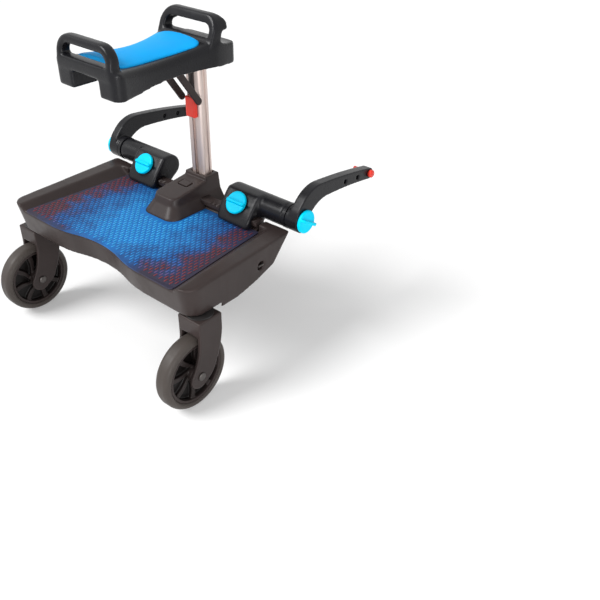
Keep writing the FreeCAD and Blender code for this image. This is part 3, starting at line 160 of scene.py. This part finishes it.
class BuggyShapes(bpy.types.PropertyGroup):
    """Sizes of the mesh finishes."""
    dash_long: length("Dash length", "Length of a grip dash", 8.0)
    dash_wide: length("Dash width", "Width of a grip dash", 2.2)
    dash_high: length("Dash height", "Height of a grip dash over the mat", 0.7)
    dash_pitch_x: length("Row pitch", "Distance between dash rows", 5.6)
    dash_pitch_y: length("Dash pitch", "Distance between dashes in a row", 12.0)
    dash_margin: length("Dash margin", "Bare edge of the mat", 3.0)
    button_slim: length("Button slimming", "How far the button's skin is drawn in", 1.0)
    # Sizes of the thin dark band along the top of the post's slot
    band_wide: length("Trim width", "Width of the slot cover on the post", 12.0)
    band_thick: length("Trim thickness", "Thickness of the slot cover", 0.9)
    band_long: length("Trim length", "Length of the slot cover", 51.0)
    pad_edge: length("Pad edge", "Height of the pad's edge over the shell", 4.5)
    pad_over: length("Pad level", "A level over the shell's top and under its loops", 487.0)
    pad_seat: length("Pad seat", "How deep the pad sits in the shell", 1.0)
    pad_corner: length("Pad corner", "Rounding of the pad's corners in plan", 20.0)
    pad_crown: length("Pad crown", "How far the pad's middle stands over its edge", 7.0)


class BuggyStage(bpy.types.PropertyGroup):
    """Light and camera."""
    azimuth: angle("Azimuth", "Camera round the board", 39.296)
    elevation: angle("Elevation", "Camera over the horizon", 34.617)
    roll: angle("Roll", "Camera about its view", 1.021)
    distance: length("Distance", "Camera from its target", 1252.15)
    target: FloatVectorProperty(name="Target", description="Point in the middle of the picture", size=3,
                                subtype="TRANSLATION", unit="LENGTH",
                                default=(0.22847, 0.04864, 0.08545))
    focal: strength("Focal length", "In widths of the picture", FOCAL_PIXELS / IMAGE_SIZE)
    ambient: strength("Ambient", "Strength of the light from all round", 0.42)
    glow: strength("Floor glow", "How far the floor is lifted where it is seen", 0.20)
    key: strength("Key light", "Strength of the broad light from the left", 2.9)
    fill: strength("Fill lamp", "Power of the lamp on the right", 7, "POWER")
    glint: strength("Glint lamp", "Power of the small low lamp under the camera", 6, "POWER")


# Meshes

def capped_tube(rings, points):
    """Faces of rings joined to a tube: quads between each ring and the next, and a cap on either end."""
    ring = np.arange(rings - 1)[:, None] * points
    here = np.arange(points)[None, :]
    beside = (here + 1) % points
    quads = np.stack([ring + here, ring + beside, ring + points + beside, ring + points + here], -1)
    last = (rings - 1) * points
    caps = [list(range(points - 1, -1, -1)), list(range(last, last + points))]
    return quads.reshape(-1, 4).tolist() + caps


def new_piece(name, points, faces, body):
    """A smooth mesh piece that rides on a body."""
    mesh = bpy.data.meshes.new(name)
    mesh.from_pydata(np.asarray(points).reshape(-1, 3).tolist(), [], [list(map(int, f)) for f in faces])
    mesh.validate()
    mesh.shade_smooth()
    return show(name, mesh, body)


def show(name, mesh, body):
    """An object for a mesh, carried by a body."""
    piece = bpy.data.objects.new(name, mesh)
    bpy.context.scene.collection.objects.link(piece)
    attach(piece, body)
    return piece


def merged(node):
    """A copy of a solid's mesh with its loose triangles joined."""
    mesh = frame["nodes"][node].data.copy()
    work = bmesh.new()
    work.from_mesh(mesh)
    bmesh.ops.remove_doubles(work, verts=work.verts, dist=2e-6)
    work.to_mesh(mesh)
    work.free()
    mesh.materials.clear()
    return mesh


def points_of(mesh):
    """A mesh's vertices as an array."""
    points = np.empty(len(mesh.vertices) * 3)
    mesh.vertices.foreach_get("co", points)
    return points.reshape(-1, 3)


def normals_of(mesh):
    """A mesh's vertex normals as an array."""
    normals = np.empty(len(mesh.vertices) * 3)
    mesh.vertices.foreach_get("normal", normals)
    return normals.reshape(-1, 3)


def surface_of(node):
    """A solid's surface, to be met by straight lines."""
    mesh = merged(node)
    faces = [list(face.vertices) for face in mesh.polygons]
    return BVHTree.FromPolygons([Vector(point) for point in points_of(mesh)], faces)


def drop_on(surface, x, y, level):
    """The height at which a line straight down from a level meets a surface, or None."""
    place = surface.ray_cast(Vector((x, y, level)), Vector((0, 0, -1)))[0]
    return place.z if place else None


def stand_in(node, mesh):
    """Shows a mesh in the place of a solid."""
    piece = show(f"{node}_skin", mesh, BODY_OF[node])
    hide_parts(node)
    return piece


def crisp(node):
    """A solid's own shape, shaded smooth except over its sharp edges."""
    mesh = merged(node)
    mesh.shade_smooth()
    mesh.set_sharp_from_angle(angle=SHARP_EDGE)
    return stand_in(node, mesh)


def relaxed(points, edges, passes):
    """Points moved half way to the mean of their neighbours, several times over."""
    count = len(points)
    ends = np.concatenate([edges, edges[:, ::-1]])
    share = 1.0 / np.maximum(np.bincount(ends[:, 0], minlength=count), 1)
    for _ in range(passes):
        sums = [np.bincount(ends[:, 0], points[ends[:, 1], k], count) for k in range(3)]
        points = 0.5 * (points + np.stack(sums, 1) * share[:, None])
    return points


def moulded(node):
    """A solid with its edges rounded as a mould leaves them: an even voxel mesh, relaxed.
    The wear attribute is how far the rounding drew each point in, over the voxel size."""
    voxel, passes = ROUNDING[node.removesuffix("_right").removesuffix("_left")]
    work = bpy.data.objects.new("work", merged(node))
    bpy.context.scene.collection.objects.link(work)
    remesh = work.modifiers.new("Remesh", "REMESH")
    remesh.mode = "VOXEL"
    remesh.voxel_size = voxel * MM
    mesh = bpy.data.meshes.new_from_object(work.evaluated_get(bpy.context.evaluated_depsgraph_get()))
    bpy.data.objects.remove(work)
    before = points_of(mesh)
    edges = np.empty(len(mesh.edges) * 2, int)
    mesh.edges.foreach_get("vertices", edges)
    normals = normals_of(mesh)
    after = relaxed(before, edges.reshape(-1, 2), passes)
    mesh.vertices.foreach_set("co", after.ravel())
    drawn_in = ((before - after) * normals).sum(1) / (voxel * MM)
    mesh.attributes.new("wear", "FLOAT", "POINT").data.foreach_set("value", np.clip(drawn_in, 0, 1))
    mesh.shade_smooth()
    mesh.update()
    return stand_in(node, mesh)


def slimmed(piece, amount):
    """Draws a piece's skin in along its normals, to keep it clear of a hollow with rounded corners."""
    points = points_of(piece.data) - amount * normals_of(piece.data)
    piece.data.vertices.foreach_set("co", points.ravel())
    piece.data.update()
    return piece


def painted_hub_shade(piece):
    """Marks painted shade as a point attribute: how near each point lies to the middle of its piece's
    width, a share that falls straight from the middle to the two sides, kept from 0 to 1. The plastic
    finish darkens the colour by it, so the hub's web between the spokes reads dark as if in shadow."""
    full, fall = 1.3, 1.6
    across = points_of(piece.data)[:, 0]
    middle = (across.min() + across.max()) / 2
    half = (across.max() - across.min()) / 2
    shade_share = np.clip(full - fall * np.abs(across - middle) / half, 0, 1)
    piece.data.attributes.new("painted_shade", "FLOAT", "POINT").data.foreach_set("value", shade_share)
    return piece


# Shader node groups

def add(tree, kind, inputs=None, **settings):
    """A node with its settings, and its inputs set or linked."""
    node = tree.nodes.new(kind)
    for key, value in settings.items():
        setattr(node, key, value)
    for key, value in (inputs or {}).items():
        if isinstance(value, bpy.types.NodeSocket):
            tree.links.new(value, node.inputs[key])
        else:
            node.inputs[key].default_value = value
    return node


def maths(tree, operation, first, second, clamp=False):
    """A Math node's result."""
    node = add(tree, "ShaderNodeMath", {0: first, 1: second}, operation=operation, use_clamp=clamp)
    return node.outputs[0]


def vector(tree, operation, first, second):
    """A Vector Math node's vector."""
    return add(tree, "ShaderNodeVectorMath", {0: first, 1: second}, operation=operation).outputs[0]


def noise(tree, place, scale, detail, **inputs):
    """A noise texture's value at a place."""
    values = {"Vector": place, "Scale": scale, "Detail": detail, **inputs}
    return add(tree, "ShaderNodeTexNoise", values).outputs["Fac"]


def own_place(tree):
    """A point's place in its piece's own coordinates."""
    return add(tree, "ShaderNodeTexCoord").outputs["Object"]


def mix(tree, share, first, second):
    """A colour mixed from two by a share."""
    node = add(tree, "ShaderNodeMix", data_type="RGBA")
    for socket, value in ((node.inputs[0], share), (node.inputs[6], first), (node.inputs[7], second)):
        if isinstance(value, bpy.types.NodeSocket):
            tree.links.new(value, socket)
        else:
            socket.default_value = value
    return node.outputs[2]


def between(tree, value, low, high, to_low=0.0, to_high=1.0):
    """A value mapped from one range to another, kept inside it."""
    return add(tree, "ShaderNodeMapRange", {0: value, 1: low, 2: high, 3: to_low, 4: to_high}).outputs[0]


def group(name, inputs, outputs):
    """An empty shader node group with named sockets, and its two end nodes."""
    tree = bpy.data.node_groups.new(name, "ShaderNodeTree")
    for label, kind, default in inputs:
        tree.interface.new_socket(label, in_out="INPUT", socket_type=kind).default_value = default
    for label, kind in outputs:
        tree.interface.new_socket(label, in_out="OUTPUT", socket_type=kind)
    return tree, tree.nodes.new("NodeGroupInput"), tree.nodes.new("NodeGroupOutput")


def grain_group():
    """Moulded grain: fine height for the bump and a slow tone for colour and gloss."""
    tree, start, end = group("Moulded grain", [("Scale", "NodeSocketFloat", 900.0)],
                             [("Height", "NodeSocketFloat"), ("Tone", "NodeSocketFloat")])
    place = own_place(tree)
    tree.links.new(noise(tree, place, start.outputs["Scale"], 3.0), end.inputs["Height"])
    tree.links.new(between(tree, noise(tree, place, 14.0, 4.0), 0.3, 0.7), end.inputs["Tone"])


def wear_group():
    """Edge wear: the mesh's wear attribute broken up by noise."""
    tree, start, end = group("Edge wear", [("Amount", "NodeSocketFloat", 1.0)],
                             [("Mask", "NodeSocketFloat")])
    worn = add(tree, "ShaderNodeAttribute", attribute_name="wear").outputs["Fac"]
    rough = between(tree, noise(tree, own_place(tree), 60.0, 5.0), 0.35, 0.65, 0.25, 1.0)
    mask = maths(tree, "MULTIPLY", between(tree, worn, 0.12, 0.75), rough)
    tree.links.new(maths(tree, "MULTIPLY", mask, start.outputs["Amount"], True), end.inputs["Mask"])


def scuff_group():
    """Scuffs: thin stretched scratches and dull patches."""
    tree, start, end = group("Scuffs", [("Stretch", "NodeSocketVector", (1.0, 1.0, 1.0))],
                             [("Mask", "NodeSocketFloat")])
    drawn = vector(tree, "MULTIPLY", own_place(tree), start.outputs["Stretch"])
    streaks = noise(tree, drawn, 35.0, 6.0, Roughness=0.65)
    tree.links.new(between(tree, streaks, 0.45, 0.75), end.inputs["Mask"])


def placed(tree, name, **inputs):
    """A shared node group placed in a material with its own values."""
    node = add(tree, "ShaderNodeGroup", node_tree=bpy.data.node_groups[name])
    for key, value in inputs.items():
        node.inputs[key].default_value = value
    return node.outputs


# Materials

def shader(name, **fixed):
    """An empty material: its tree and its Principled shader with fixed sockets set."""
    material = bpy.data.materials.new(f"{name}_finish")
    material.use_nodes = True
    FINISHES[name] = material
    tree = material.node_tree
    principled = tree.nodes["Principled BSDF"]
    for key, value in fixed.items():
        principled.inputs[key.replace("_", " ")].default_value = value
    return tree, principled


def rgba(colour_value, level=1.0):
    """A colour property as four numbers, lighter or darker by a level."""
    return (*[min(1.0, c * level) for c in colour_value], 1.0)


def bumped(tree, principled, height, strength, distance):
    """Feeds a height into the shader's normal."""
    bump = add(tree, "ShaderNodeBump", {"Height": height, "Strength": strength, "Distance": distance})
    tree.links.new(bump.outputs["Normal"], principled.inputs["Normal"])


def plastic(name, tint, rough, grain, bump, wear=0.5, worn_level=2.2, **fixed):
    """Moulded plastic: slow tone, worn lighter edges, painted shade where a piece marks it, scuffs and a
    fine grain.
    """
    tree, principled = shader(name, **fixed)
    grain_out = placed(tree, "Moulded grain", Scale=grain)
    worn = placed(tree, "Edge wear", Amount=wear)["Mask"]
    scuffed = placed(tree, "Scuffs", Stretch=(1.0, 3.0, 1.0))["Mask"]
    base = mix(tree, grain_out["Tone"], rgba(tint, 0.88), rgba(tint, 1.14))
    base = mix(tree, worn, base, rgba(tint, worn_level))
    # Painted shade: the colour darkens towards 0.12 of the tint by the piece's marked share, standing in
    # for shadow in recesses
    painted_shade = add(tree, "ShaderNodeAttribute", attribute_name="painted_shade").outputs["Fac"]
    base = mix(tree, painted_shade, base, rgba(tint, 0.12))
    tree.links.new(base, principled.inputs["Base Color"])
    dull = between(tree, scuffed, 0.0, 1.0, rough - 0.05, rough + 0.1)
    rubbed = maths(tree, "SUBTRACT", dull, maths(tree, "MULTIPLY", worn, 0.12))
    tree.links.new(rubbed, principled.inputs["Roughness"])
    bumped(tree, principled, grain_out["Height"], bump, 0.0002)


def metal(name, tint, rough, stretch):
    """Brushed or plated metal: streaks along one way in tone, gloss and height."""
    tree, principled = shader(name, Metallic=1.0)
    streaks = placed(tree, "Scuffs", Stretch=stretch)["Mask"]
    grain_out = placed(tree, "Moulded grain", Scale=1400.0)
    base = mix(tree, streaks, rgba(tint, 1.05), rgba(tint, 0.86))
    tree.links.new(base, principled.inputs["Base Color"])
    tree.links.new(between(tree, streaks, 0.0, 1.0, rough, rough + 0.14), principled.inputs["Roughness"])
    height = maths(tree, "ADD", maths(tree, "MULTIPLY", streaks, 0.5), grain_out["Height"])
    bumped(tree, principled, height, 0.08, 0.0002)


def build_materials():
    """Every finish of the board, by name."""
    grain_group()
    wear_group()
    scuff_group()
    c = bpy.context.scene.buggy_colours
    plastic("black_plastic", c.black, rough=0.36, grain=700.0, bump=0.22, Specular_IOR_Level=0.18)
    plastic("hub_plastic", c.black, rough=0.40, grain=700.0, bump=0.20, wear=0.8, worn_level=2.6,
            Specular_IOR_Level=0.18)
    plastic("ink_plastic", c.ink, rough=0.32, grain=1000.0, bump=0.18, Specular_IOR_Level=0.22)
    plastic("tyre_rubber", c.tyre, rough=0.52, grain=500.0, bump=0.25, wear=0.35, worn_level=1.5,
            Specular_IOR_Level=0.3)
    plastic("cyan_plastic", c.cyan, rough=0.36, grain=1200.0, bump=0.10, wear=0.25, worn_level=1.2,
            Specular_IOR_Level=0.08)
    plastic("red_plastic", c.red, rough=0.36, grain=1200.0, bump=0.10, wear=0.25, worn_level=1.2,
            Specular_IOR_Level=0.4)
    plastic("bush_nylon", c.nylon, rough=0.5, grain=1000.0, bump=0.2, wear=0.2, worn_level=1.4)
    metal("silver_aluminium", c.silver, rough=0.48, stretch=(9.0, 9.0, 0.25))
    metal("steel", c.steel, rough=0.30, stretch=(3.0, 3.0, 3.0))
    metal("dark_steel", c.dark_steel, rough=0.38, stretch=(3.0, 3.0, 3.0))
    foam_material(c)
    mat_material(c)
    dash_material(c)


def foam_material(c):
    """Closed-cell pad foam: fine pores, a soft sheen and slight tone."""
    tree, principled = shader("pad_foam", Specular_IOR_Level=0.2)
    grain_out = placed(tree, "Moulded grain", Scale=1100.0)
    base = mix(tree, grain_out["Tone"], rgba(c.azure, 0.93), rgba(c.azure, 1.06))
    tree.links.new(base, principled.inputs["Base Color"])
    rough = between(tree, grain_out["Tone"], 0.0, 1.0, 0.52, 0.62)
    tree.links.new(rough, principled.inputs["Roughness"])
    bumped(tree, principled, grain_out["Height"], 0.35, 0.0003)


def mat_tone(tree):
    """How far a point lies from the mat's brightest place, broken up by noise."""
    place = own_place(tree)
    flat = vector(tree, "MULTIPLY", vector(tree, "SUBTRACT", place, MAT_HEART), MAT_FLAT)
    away = add(tree, "ShaderNodeVectorMath", {0: flat}, operation="LENGTH").outputs["Value"]
    ragged = between(tree, noise(tree, place, 38.0, 3.0), 0.3, 0.7, -0.025, 0.025)
    return maths(tree, "ADD", away, ragged)


def mat_material(c):
    """Rubber mat: bright blue middle, navy, then near black towards the ends, with a pebbled skin."""
    tree, principled = shader("mat_rubber", Specular_IOR_Level=0.25)
    away = mat_tone(tree)
    ground = mix(tree, between(tree, away, *MAT_BANDS[0]), rgba(c.mat_middle), rgba(c.mat_between))
    ground = mix(tree, between(tree, away, *MAT_BANDS[1]), ground, rgba(c.mat_end))
    grain_out = placed(tree, "Moulded grain", Scale=800.0)
    worn = maths(tree, "MULTIPLY", grain_out["Tone"], 0.2)
    tree.links.new(mix(tree, worn, ground, rgba(c.mat_between)), principled.inputs["Base Color"])
    tree.links.new(between(tree, grain_out["Tone"], 0.0, 1.0, 0.5, 0.62), principled.inputs["Roughness"])
    bumped(tree, principled, grain_out["Height"], 0.4, 0.0003)


def dash_material(c):
    """Grip dashes: light blue in the middle, blue, then dark red at the ends, rubbed dull on top."""
    tree, principled = shader("dash_rubber", Specular_IOR_Level=0.25)
    away = mat_tone(tree)
    top = mix(tree, between(tree, away, *DASH_BANDS[0]), rgba(c.dash_middle), rgba(c.dash_between))
    top = mix(tree, between(tree, away, *DASH_BANDS[1]), top, rgba(c.dash_end))
    scuffed = placed(tree, "Scuffs", Stretch=(1.0, 1.0, 1.0))["Mask"]
    tree.links.new(mix(tree, maths(tree, "MULTIPLY", scuffed, 0.3), top, rgba(c.mat_between)),
                   principled.inputs["Base Color"])
    tree.links.new(between(tree, scuffed, 0.0, 1.0, 0.45, 0.6), principled.inputs["Roughness"])
    grain_out = placed(tree, "Moulded grain", Scale=900.0)
    bumped(tree, principled, grain_out["Height"], 0.2, 0.0002)


def coat(piece, name):
    """Gives a piece its finish as its one material."""
    piece.data.materials.clear()
    piece.data.materials.append(FINISHES[name])
    return piece


def coat_node(node, name):
    """Gives a solid that stays its finish."""
    frame["nodes"][node].data.materials.clear()
    frame["nodes"][node].data.materials.append(FINISHES[name])


# Pieces

class BUGGY_OT_deck(bpy.types.Operator):
    """Deck tray, front rail, socket and release button."""
    bl_idname = "buggy.deck"
    bl_label = "Deck"

    def execute(self, context):
        coat(moulded("deck_tray"), "black_plastic")
        coat(crisp("front_rail"), "black_plastic")
        coat(moulded("saddle_socket"), "black_plastic")
        button = moulded("release_button")
        coat(slimmed(button, context.scene.buggy_shapes.button_slim), "black_plastic")
        for side in SIDES:
            coat_node(f"strap_pin_{side}", "dark_steel")
        coat_node("deck_screws", "steel")
        return {"FINISHED"}


class BUGGY_OT_mat(bpy.types.Operator):
    """Grip mat with its raised dashes."""
    bl_idname = "buggy.mat"
    bl_label = "Grip mat"

    def execute(self, context):
        coat(crisp("grip_mat"), "mat_rubber")
        coat(grip_dashes(), "dash_rubber")
        return {"FINISHED"}


def dash_shape(shapes):
    """A grip dash: rings of a stadium outline that rise and draw in as a quarter ellipse,
    closed below and above."""
    turn = (np.arange(DASH_POINTS) + 0.5) * (2 * np.pi / DASH_POINTS)
    share, rise = np.array(DASH_RINGS).T[:, :, None]
    radius = shapes.dash_wide / 2
    ends = np.sign(np.sin(turn)) * (shapes.dash_long / 2 - radius)
    x = radius * share * np.cos(turn)
    y = ends + radius * share * np.sin(turn)
    z = np.broadcast_to(shapes.dash_high * rise, x.shape)
    return np.stack([x, y, z], -1).reshape(-1, 3), capped_tube(len(DASH_RINGS), DASH_POINTS)


def grip_dashes():
    """Straight rows of dashes, every other row shifted by half a pitch,
    wherever the mat lies under all of a dash."""
    shapes = bpy.context.scene.buggy_shapes
    points = points_of(merged("grip_mat"))
    low, high = points.min(0), points.max(0)
    ground = surface_of("grip_mat")
    reach_x = shapes.dash_wide / 2 + shapes.dash_margin
    reach_y = shapes.dash_long / 2 + shapes.dash_margin
    dash, dash_faces = dash_shape(shapes)
    rows = int(high[0] / shapes.dash_pitch_x)
    columns = int((high[1] - low[1]) / shapes.dash_pitch_y) + 1
    places = []
    for i in range(-rows, rows + 1):
        for j in range(columns):
            x, y = i * shapes.dash_pitch_x, low[1] + (j + 0.5 * (i % 2)) * shapes.dash_pitch_y
            corners = [(x + sx * reach_x, y + sy * reach_y) for sx in (-1, 1) for sy in (-1, 1)]
            if all(drop_on(ground, *corner, 1.0) is not None for corner in corners):
                places.append((x, y, high[2]))
    every = np.array(places)[:, None] + dash
    faces = [np.add(face, len(dash) * n) for n in range(len(places)) for face in dash_faces]
    return new_piece("grip_dashes", every, faces, BODY_OF["grip_mat"])


class BUGGY_OT_casters(bpy.types.Operator):
    """Forks, wheels, tyres and their hardware."""
    bl_idname = "buggy.casters"
    bl_label = "Casters"

    def execute(self, context):
        for side in SIDES:
            coat(moulded(f"caster_fork_{side}"), "black_plastic")
            coat(crisp(f"tyre_{side}"), "tyre_rubber")
            # The hubs carry painted shade across the middle of their width, darkening the web between
            # the spokes
            coat(painted_hub_shade(moulded(f"wheel_hub_{side}")), "hub_plastic")
            for node in ("axle_bolt", "axle_nut", "caster_stem"):
                coat_node(f"{node}_{side}", "dark_steel")
            for node in ("wheel_bush", "stem_bush"):
                coat_node(f"{node}_{side}", "bush_nylon")
        return {"FINISHED"}


class BUGGY_OT_extenders(bpy.types.Operator):
    """Extender housings, arms, knobs and lock pins."""
    bl_idname = "buggy.extenders"
    bl_label = "Extenders"

    def execute(self, context):
        for side in SIDES:
            coat(moulded(f"extender_housing_{side}"), "ink_plastic")
            coat(crisp(f"tube_ring_{side}"), "ink_plastic")
            coat(moulded(f"connector_arm_{side}"), "ink_plastic")
            for node in ("clamp_knob", "arm_knob"):
                coat(moulded(f"{node}_{side}"), "cyan_plastic")
            coat(crisp(f"lock_pin_{side}"), "red_plastic")
            coat_node(f"clamp_jaw_{side}", "black_plastic")
            for node in ("clamp_screw", "arm_bolt"):
                coat_node(f"{node}_{side}", "steel")
        return {"FINISHED"}


class BUGGY_OT_saddle(bpy.types.Operator):
    """Post, saddle shell, pad, strut and slider."""
    bl_idname = "buggy.saddle"
    bl_label = "Saddle"

    def execute(self, context):
        coat(crisp("saddle_post"), "silver_aluminium")
        coat(moulded("post_head"), "black_plastic")
        coat(moulded("saddle_shell"), "ink_plastic")
        coat(moulded("fold_strut"), "black_plastic")
        coat(moulded("lock_slider"), "red_plastic")
        coat(dark_slot_band(), "black_plastic")
        coat_node("hinge_pin", "steel")
        coat_node("strut_pin", "steel")
        pad = coat(saddle_pad(), "pad_foam")
        return {"FINISHED"}


def dark_slot_band():
    """A thin dark band along the top of the post's slot: a box with softened edges."""
    shapes = bpy.context.scene.buggy_shapes
    post = points_of(merged("saddle_post"))
    rear, top = post[:, 1].min(), post[:, 2].max()
    half, thick = shapes.band_wide / 2, shapes.band_thick
    levels = (top - shapes.band_long, top)
    corners = [(x, y, z) for x in (-half, half) for y in (rear - thick, rear) for z in levels]
    faces = [(0, 1, 3, 2), (4, 6, 7, 5), (0, 4, 5, 1), (2, 3, 7, 6), (0, 2, 6, 4), (1, 5, 7, 3)]
    trim = new_piece("dark_slot_band", corners, faces, BODY_OF["saddle_post"])
    bevel = trim.modifiers.new("Softened edges", "BEVEL")
    bevel.width = thick / 2
    bevel.segments = 2
    return trim


def saddle_pad():
    """The pad as rings across its length, each a flat foot, sides rounded as a superellipse and a top
    crowned as a parabola. The outline draws in to a waist between its ends by a power of the way out,
    and its corners and end edges are quarter rounds."""
    shapes = bpy.context.scene.buggy_shapes
    solid = points_of(merged("saddle_pad"))
    rear, front = solid[:, 1].min(), solid[:, 1].max()
    where = (solid[:, 1] - rear) / (front - rear)
    half_rear, half_front = solid[where < 0.3, 0].max(), solid[where > 0.7, 0].max()
    waist = solid[np.abs(where - 0.5) < 0.02, 0].max()
    share = 0.5 - 0.5 * np.cos(np.linspace(0, np.pi, PAD_RINGS))
    along = rear + (front - rear) * share
    out = np.abs(2 * share - 1)
    end = np.where(share < 0.5, half_rear, half_front)
    half = waist + (end - waist) * out ** WAIST_POWER
    shell = surface_of("saddle_shell")
    foot = np.array([drop_on(shell, 0.0, y, shapes.pad_over) for y in along]) - shapes.pad_seat
    inside = np.minimum(along - rear, front - along)
    corner = np.sqrt(1 - (1 - np.clip(inside / shapes.pad_corner, 0, 1)) ** 2)
    roll = np.sqrt(1 - (1 - np.clip(inside / shapes.pad_edge, 0, 1)) ** 2)
    width = half - shapes.pad_corner * (1 - corner)
    turn = np.linspace(0, 2 * np.pi, PAD_POINTS, endpoint=False)[::-1]
    upper = np.sin(turn) > 0
    across = np.sign(np.cos(turn)) * np.abs(np.cos(turn)) ** np.where(upper, TOP_SIDE, FOOT_SIDE)
    over = PAD_BELLY + (1 - PAD_BELLY) * np.abs(np.sin(turn)) ** TOP_RISE
    under = PAD_BELLY - PAD_BELLY * np.abs(np.sin(turn)) ** FOOT_RISE
    rise = np.where(upper, over, under)
    crown = np.where(upper, 1 - across ** 2, 0.0)
    swell = shapes.pad_crown * (1 - END_SINK * out ** 4)
    x = width[:, None] * across
    y = np.repeat(along[:, None], PAD_POINTS, 1)
    z = foot[:, None] + roll[:, None] * (shapes.pad_edge * rise + swell[:, None] * crown)
    faces = capped_tube(PAD_RINGS, PAD_POINTS)
    pad = new_piece("saddle_pad_skin", np.stack([x, y, z], -1), faces, BODY_OF["saddle_pad"])
    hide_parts("saddle_pad")
    return pad


class BUGGY_OT_stage(bpy.types.Operator):
    """Pale floor, soft lamps, white surroundings and the camera."""
    bl_idname = "buggy.stage"
    bl_label = "Stage"

    def execute(self, context):
        context.scene.view_settings.view_transform = "Standard"
        lay_floor()
        light_world()
        hang_lamps()
        place_camera()
        return {"FINISHED"}


def seen_directly(tree):
    """1 for rays from the camera, a mirror or glass, and 0 for the light that falls on things."""
    path = add(tree, "ShaderNodeLightPath").outputs
    straight = maths(tree, "ADD", path["Is Camera Ray"], path["Is Glossy Ray"])
    return maths(tree, "ADD", straight, path["Is Transmission Ray"], True)


def lay_floor():
    """A wide pale floor that keeps the shadow and glows to white where it is seen."""
    corners = [(x * FLOOR_HALF, y * FLOOR_HALF, 0) for x, y in ((-1, -1), (1, -1), (1, 1), (-1, 1))]
    mesh = bpy.data.meshes.new("floor")
    mesh.from_pydata(corners, [], [(0, 1, 2, 3)])
    floor = bpy.data.objects.new("floor", mesh)
    bpy.context.scene.collection.objects.link(floor)
    material = bpy.data.materials.new("floor")
    material.use_nodes = True
    tree = material.node_tree
    tree.nodes.clear()
    diffuse = add(tree, "ShaderNodeBsdfDiffuse", {"Color": rgba(bpy.context.scene.buggy_colours.floor)})
    lift = maths(tree, "MULTIPLY", seen_directly(tree), bpy.context.scene.buggy_stage.glow)
    glow = add(tree, "ShaderNodeEmission", {"Strength": lift})
    both = add(tree, "ShaderNodeAddShader", {0: diffuse.outputs[0], 1: glow.outputs[0]})
    add(tree, "ShaderNodeOutputMaterial", {"Surface": both.outputs[0]})
    mesh.materials.append(material)


def light_world():
    """White where it is seen or mirrored, and an even light for the surfaces."""
    world = bpy.data.worlds.new("studio")
    world.use_nodes = True
    tree = world.node_tree
    background = tree.nodes["Background"]
    background.inputs["Color"].default_value = (1, 1, 1, 1)
    ambient = bpy.context.scene.buggy_stage.ambient
    light = between(tree, seen_directly(tree), 0.0, 1.0, ambient, 1.0)
    tree.links.new(light, background.inputs["Strength"])
    bpy.context.scene.world = world


def hang_lamps():
    """A broad key light from the camera's left, a weaker lamp on its right and a small low one."""
    stage = bpy.context.scene.buggy_stage
    hang("key", "SUN", stage.key, KEY_PLACE).angle = KEY_ANGLE
    hang("fill", "AREA", stage.fill, FILL_PLACE).size = FILL_SIZE
    hang("glint", "AREA", stage.glint, GLINT_PLACE).size = GLINT_SIZE


def hang(name, kind, power, place):
    """A lamp at a place, turned to the point it lights."""
    lamp = bpy.data.lights.new(name, kind)
    lamp.energy = power
    holder = bpy.data.objects.new(name, lamp)
    holder.location = place
    holder.rotation_euler = (Vector(place) - LIT_POINT).to_track_quat("Z", "Y").to_euler()
    bpy.context.scene.collection.objects.link(holder)
    return lamp


def place_camera():
    """The camera at its angle round the target, rolled about its view."""
    stage = bpy.context.scene.buggy_stage
    tilt = math.pi / 2 - stage.elevation
    turn = (Matrix.Rotation(stage.azimuth, 4, "Z") @ Matrix.Rotation(tilt, 4, "X")
            @ Matrix.Rotation(stage.roll, 4, "Z"))
    lens = bpy.data.cameras.new("camera")
    lens.sensor_width = SENSOR
    lens.lens = stage.focal * SENSOR
    camera = bpy.data.objects.new("camera", lens)
    back = Matrix.Translation((0, 0, stage.distance))
    camera.matrix_world = Matrix.Translation(stage.target) @ turn @ back
    bpy.context.scene.collection.objects.link(camera)
    bpy.context.scene.camera = camera


class BUGGY_PT_panel(bpy.types.Panel):
    """Lists the steps that dress the board."""
    bl_idname = "BUGGY_PT_panel"
    bl_label = "Buggy board"
    bl_space_type = "VIEW_3D"
    bl_region_type = "UI"
    bl_category = "Buggy board"

    def draw(self, context):
        for operator in OPERATORS:
            self.layout.operator(operator.bl_idname)


GROUPS = {"buggy_colours": BuggyColours, "buggy_shapes": BuggyShapes, "buggy_stage": BuggyStage}
OPERATORS = (BUGGY_OT_deck, BUGGY_OT_mat, BUGGY_OT_casters, BUGGY_OT_extenders, BUGGY_OT_saddle,
             BUGGY_OT_stage)


def register():
    """Registers the classes and hangs the property groups on the scene."""
    for kind in (*GROUPS.values(), *OPERATORS, BUGGY_PT_panel):
        bpy.utils.register_class(kind)
    for name, kind in GROUPS.items():
        setattr(bpy.types.Scene, name, PointerProperty(type=kind))


def unregister():
    """Takes the property groups and the classes back."""
    for name in GROUPS:
        delattr(bpy.types.Scene, name)
    for kind in (BUGGY_PT_panel, *OPERATORS[::-1], *list(GROUPS.values())[::-1]):
        bpy.utils.unregister_class(kind)


def main():
    """Registers the add-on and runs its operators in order."""
    register()
    build_materials()
    bpy.ops.buggy.deck()
    bpy.ops.buggy.mat()
    bpy.ops.buggy.casters()
    bpy.ops.buggy.extenders()
    bpy.ops.buggy.saddle()
    bpy.ops.buggy.stage()


if __name__ == "__main__":
    main()
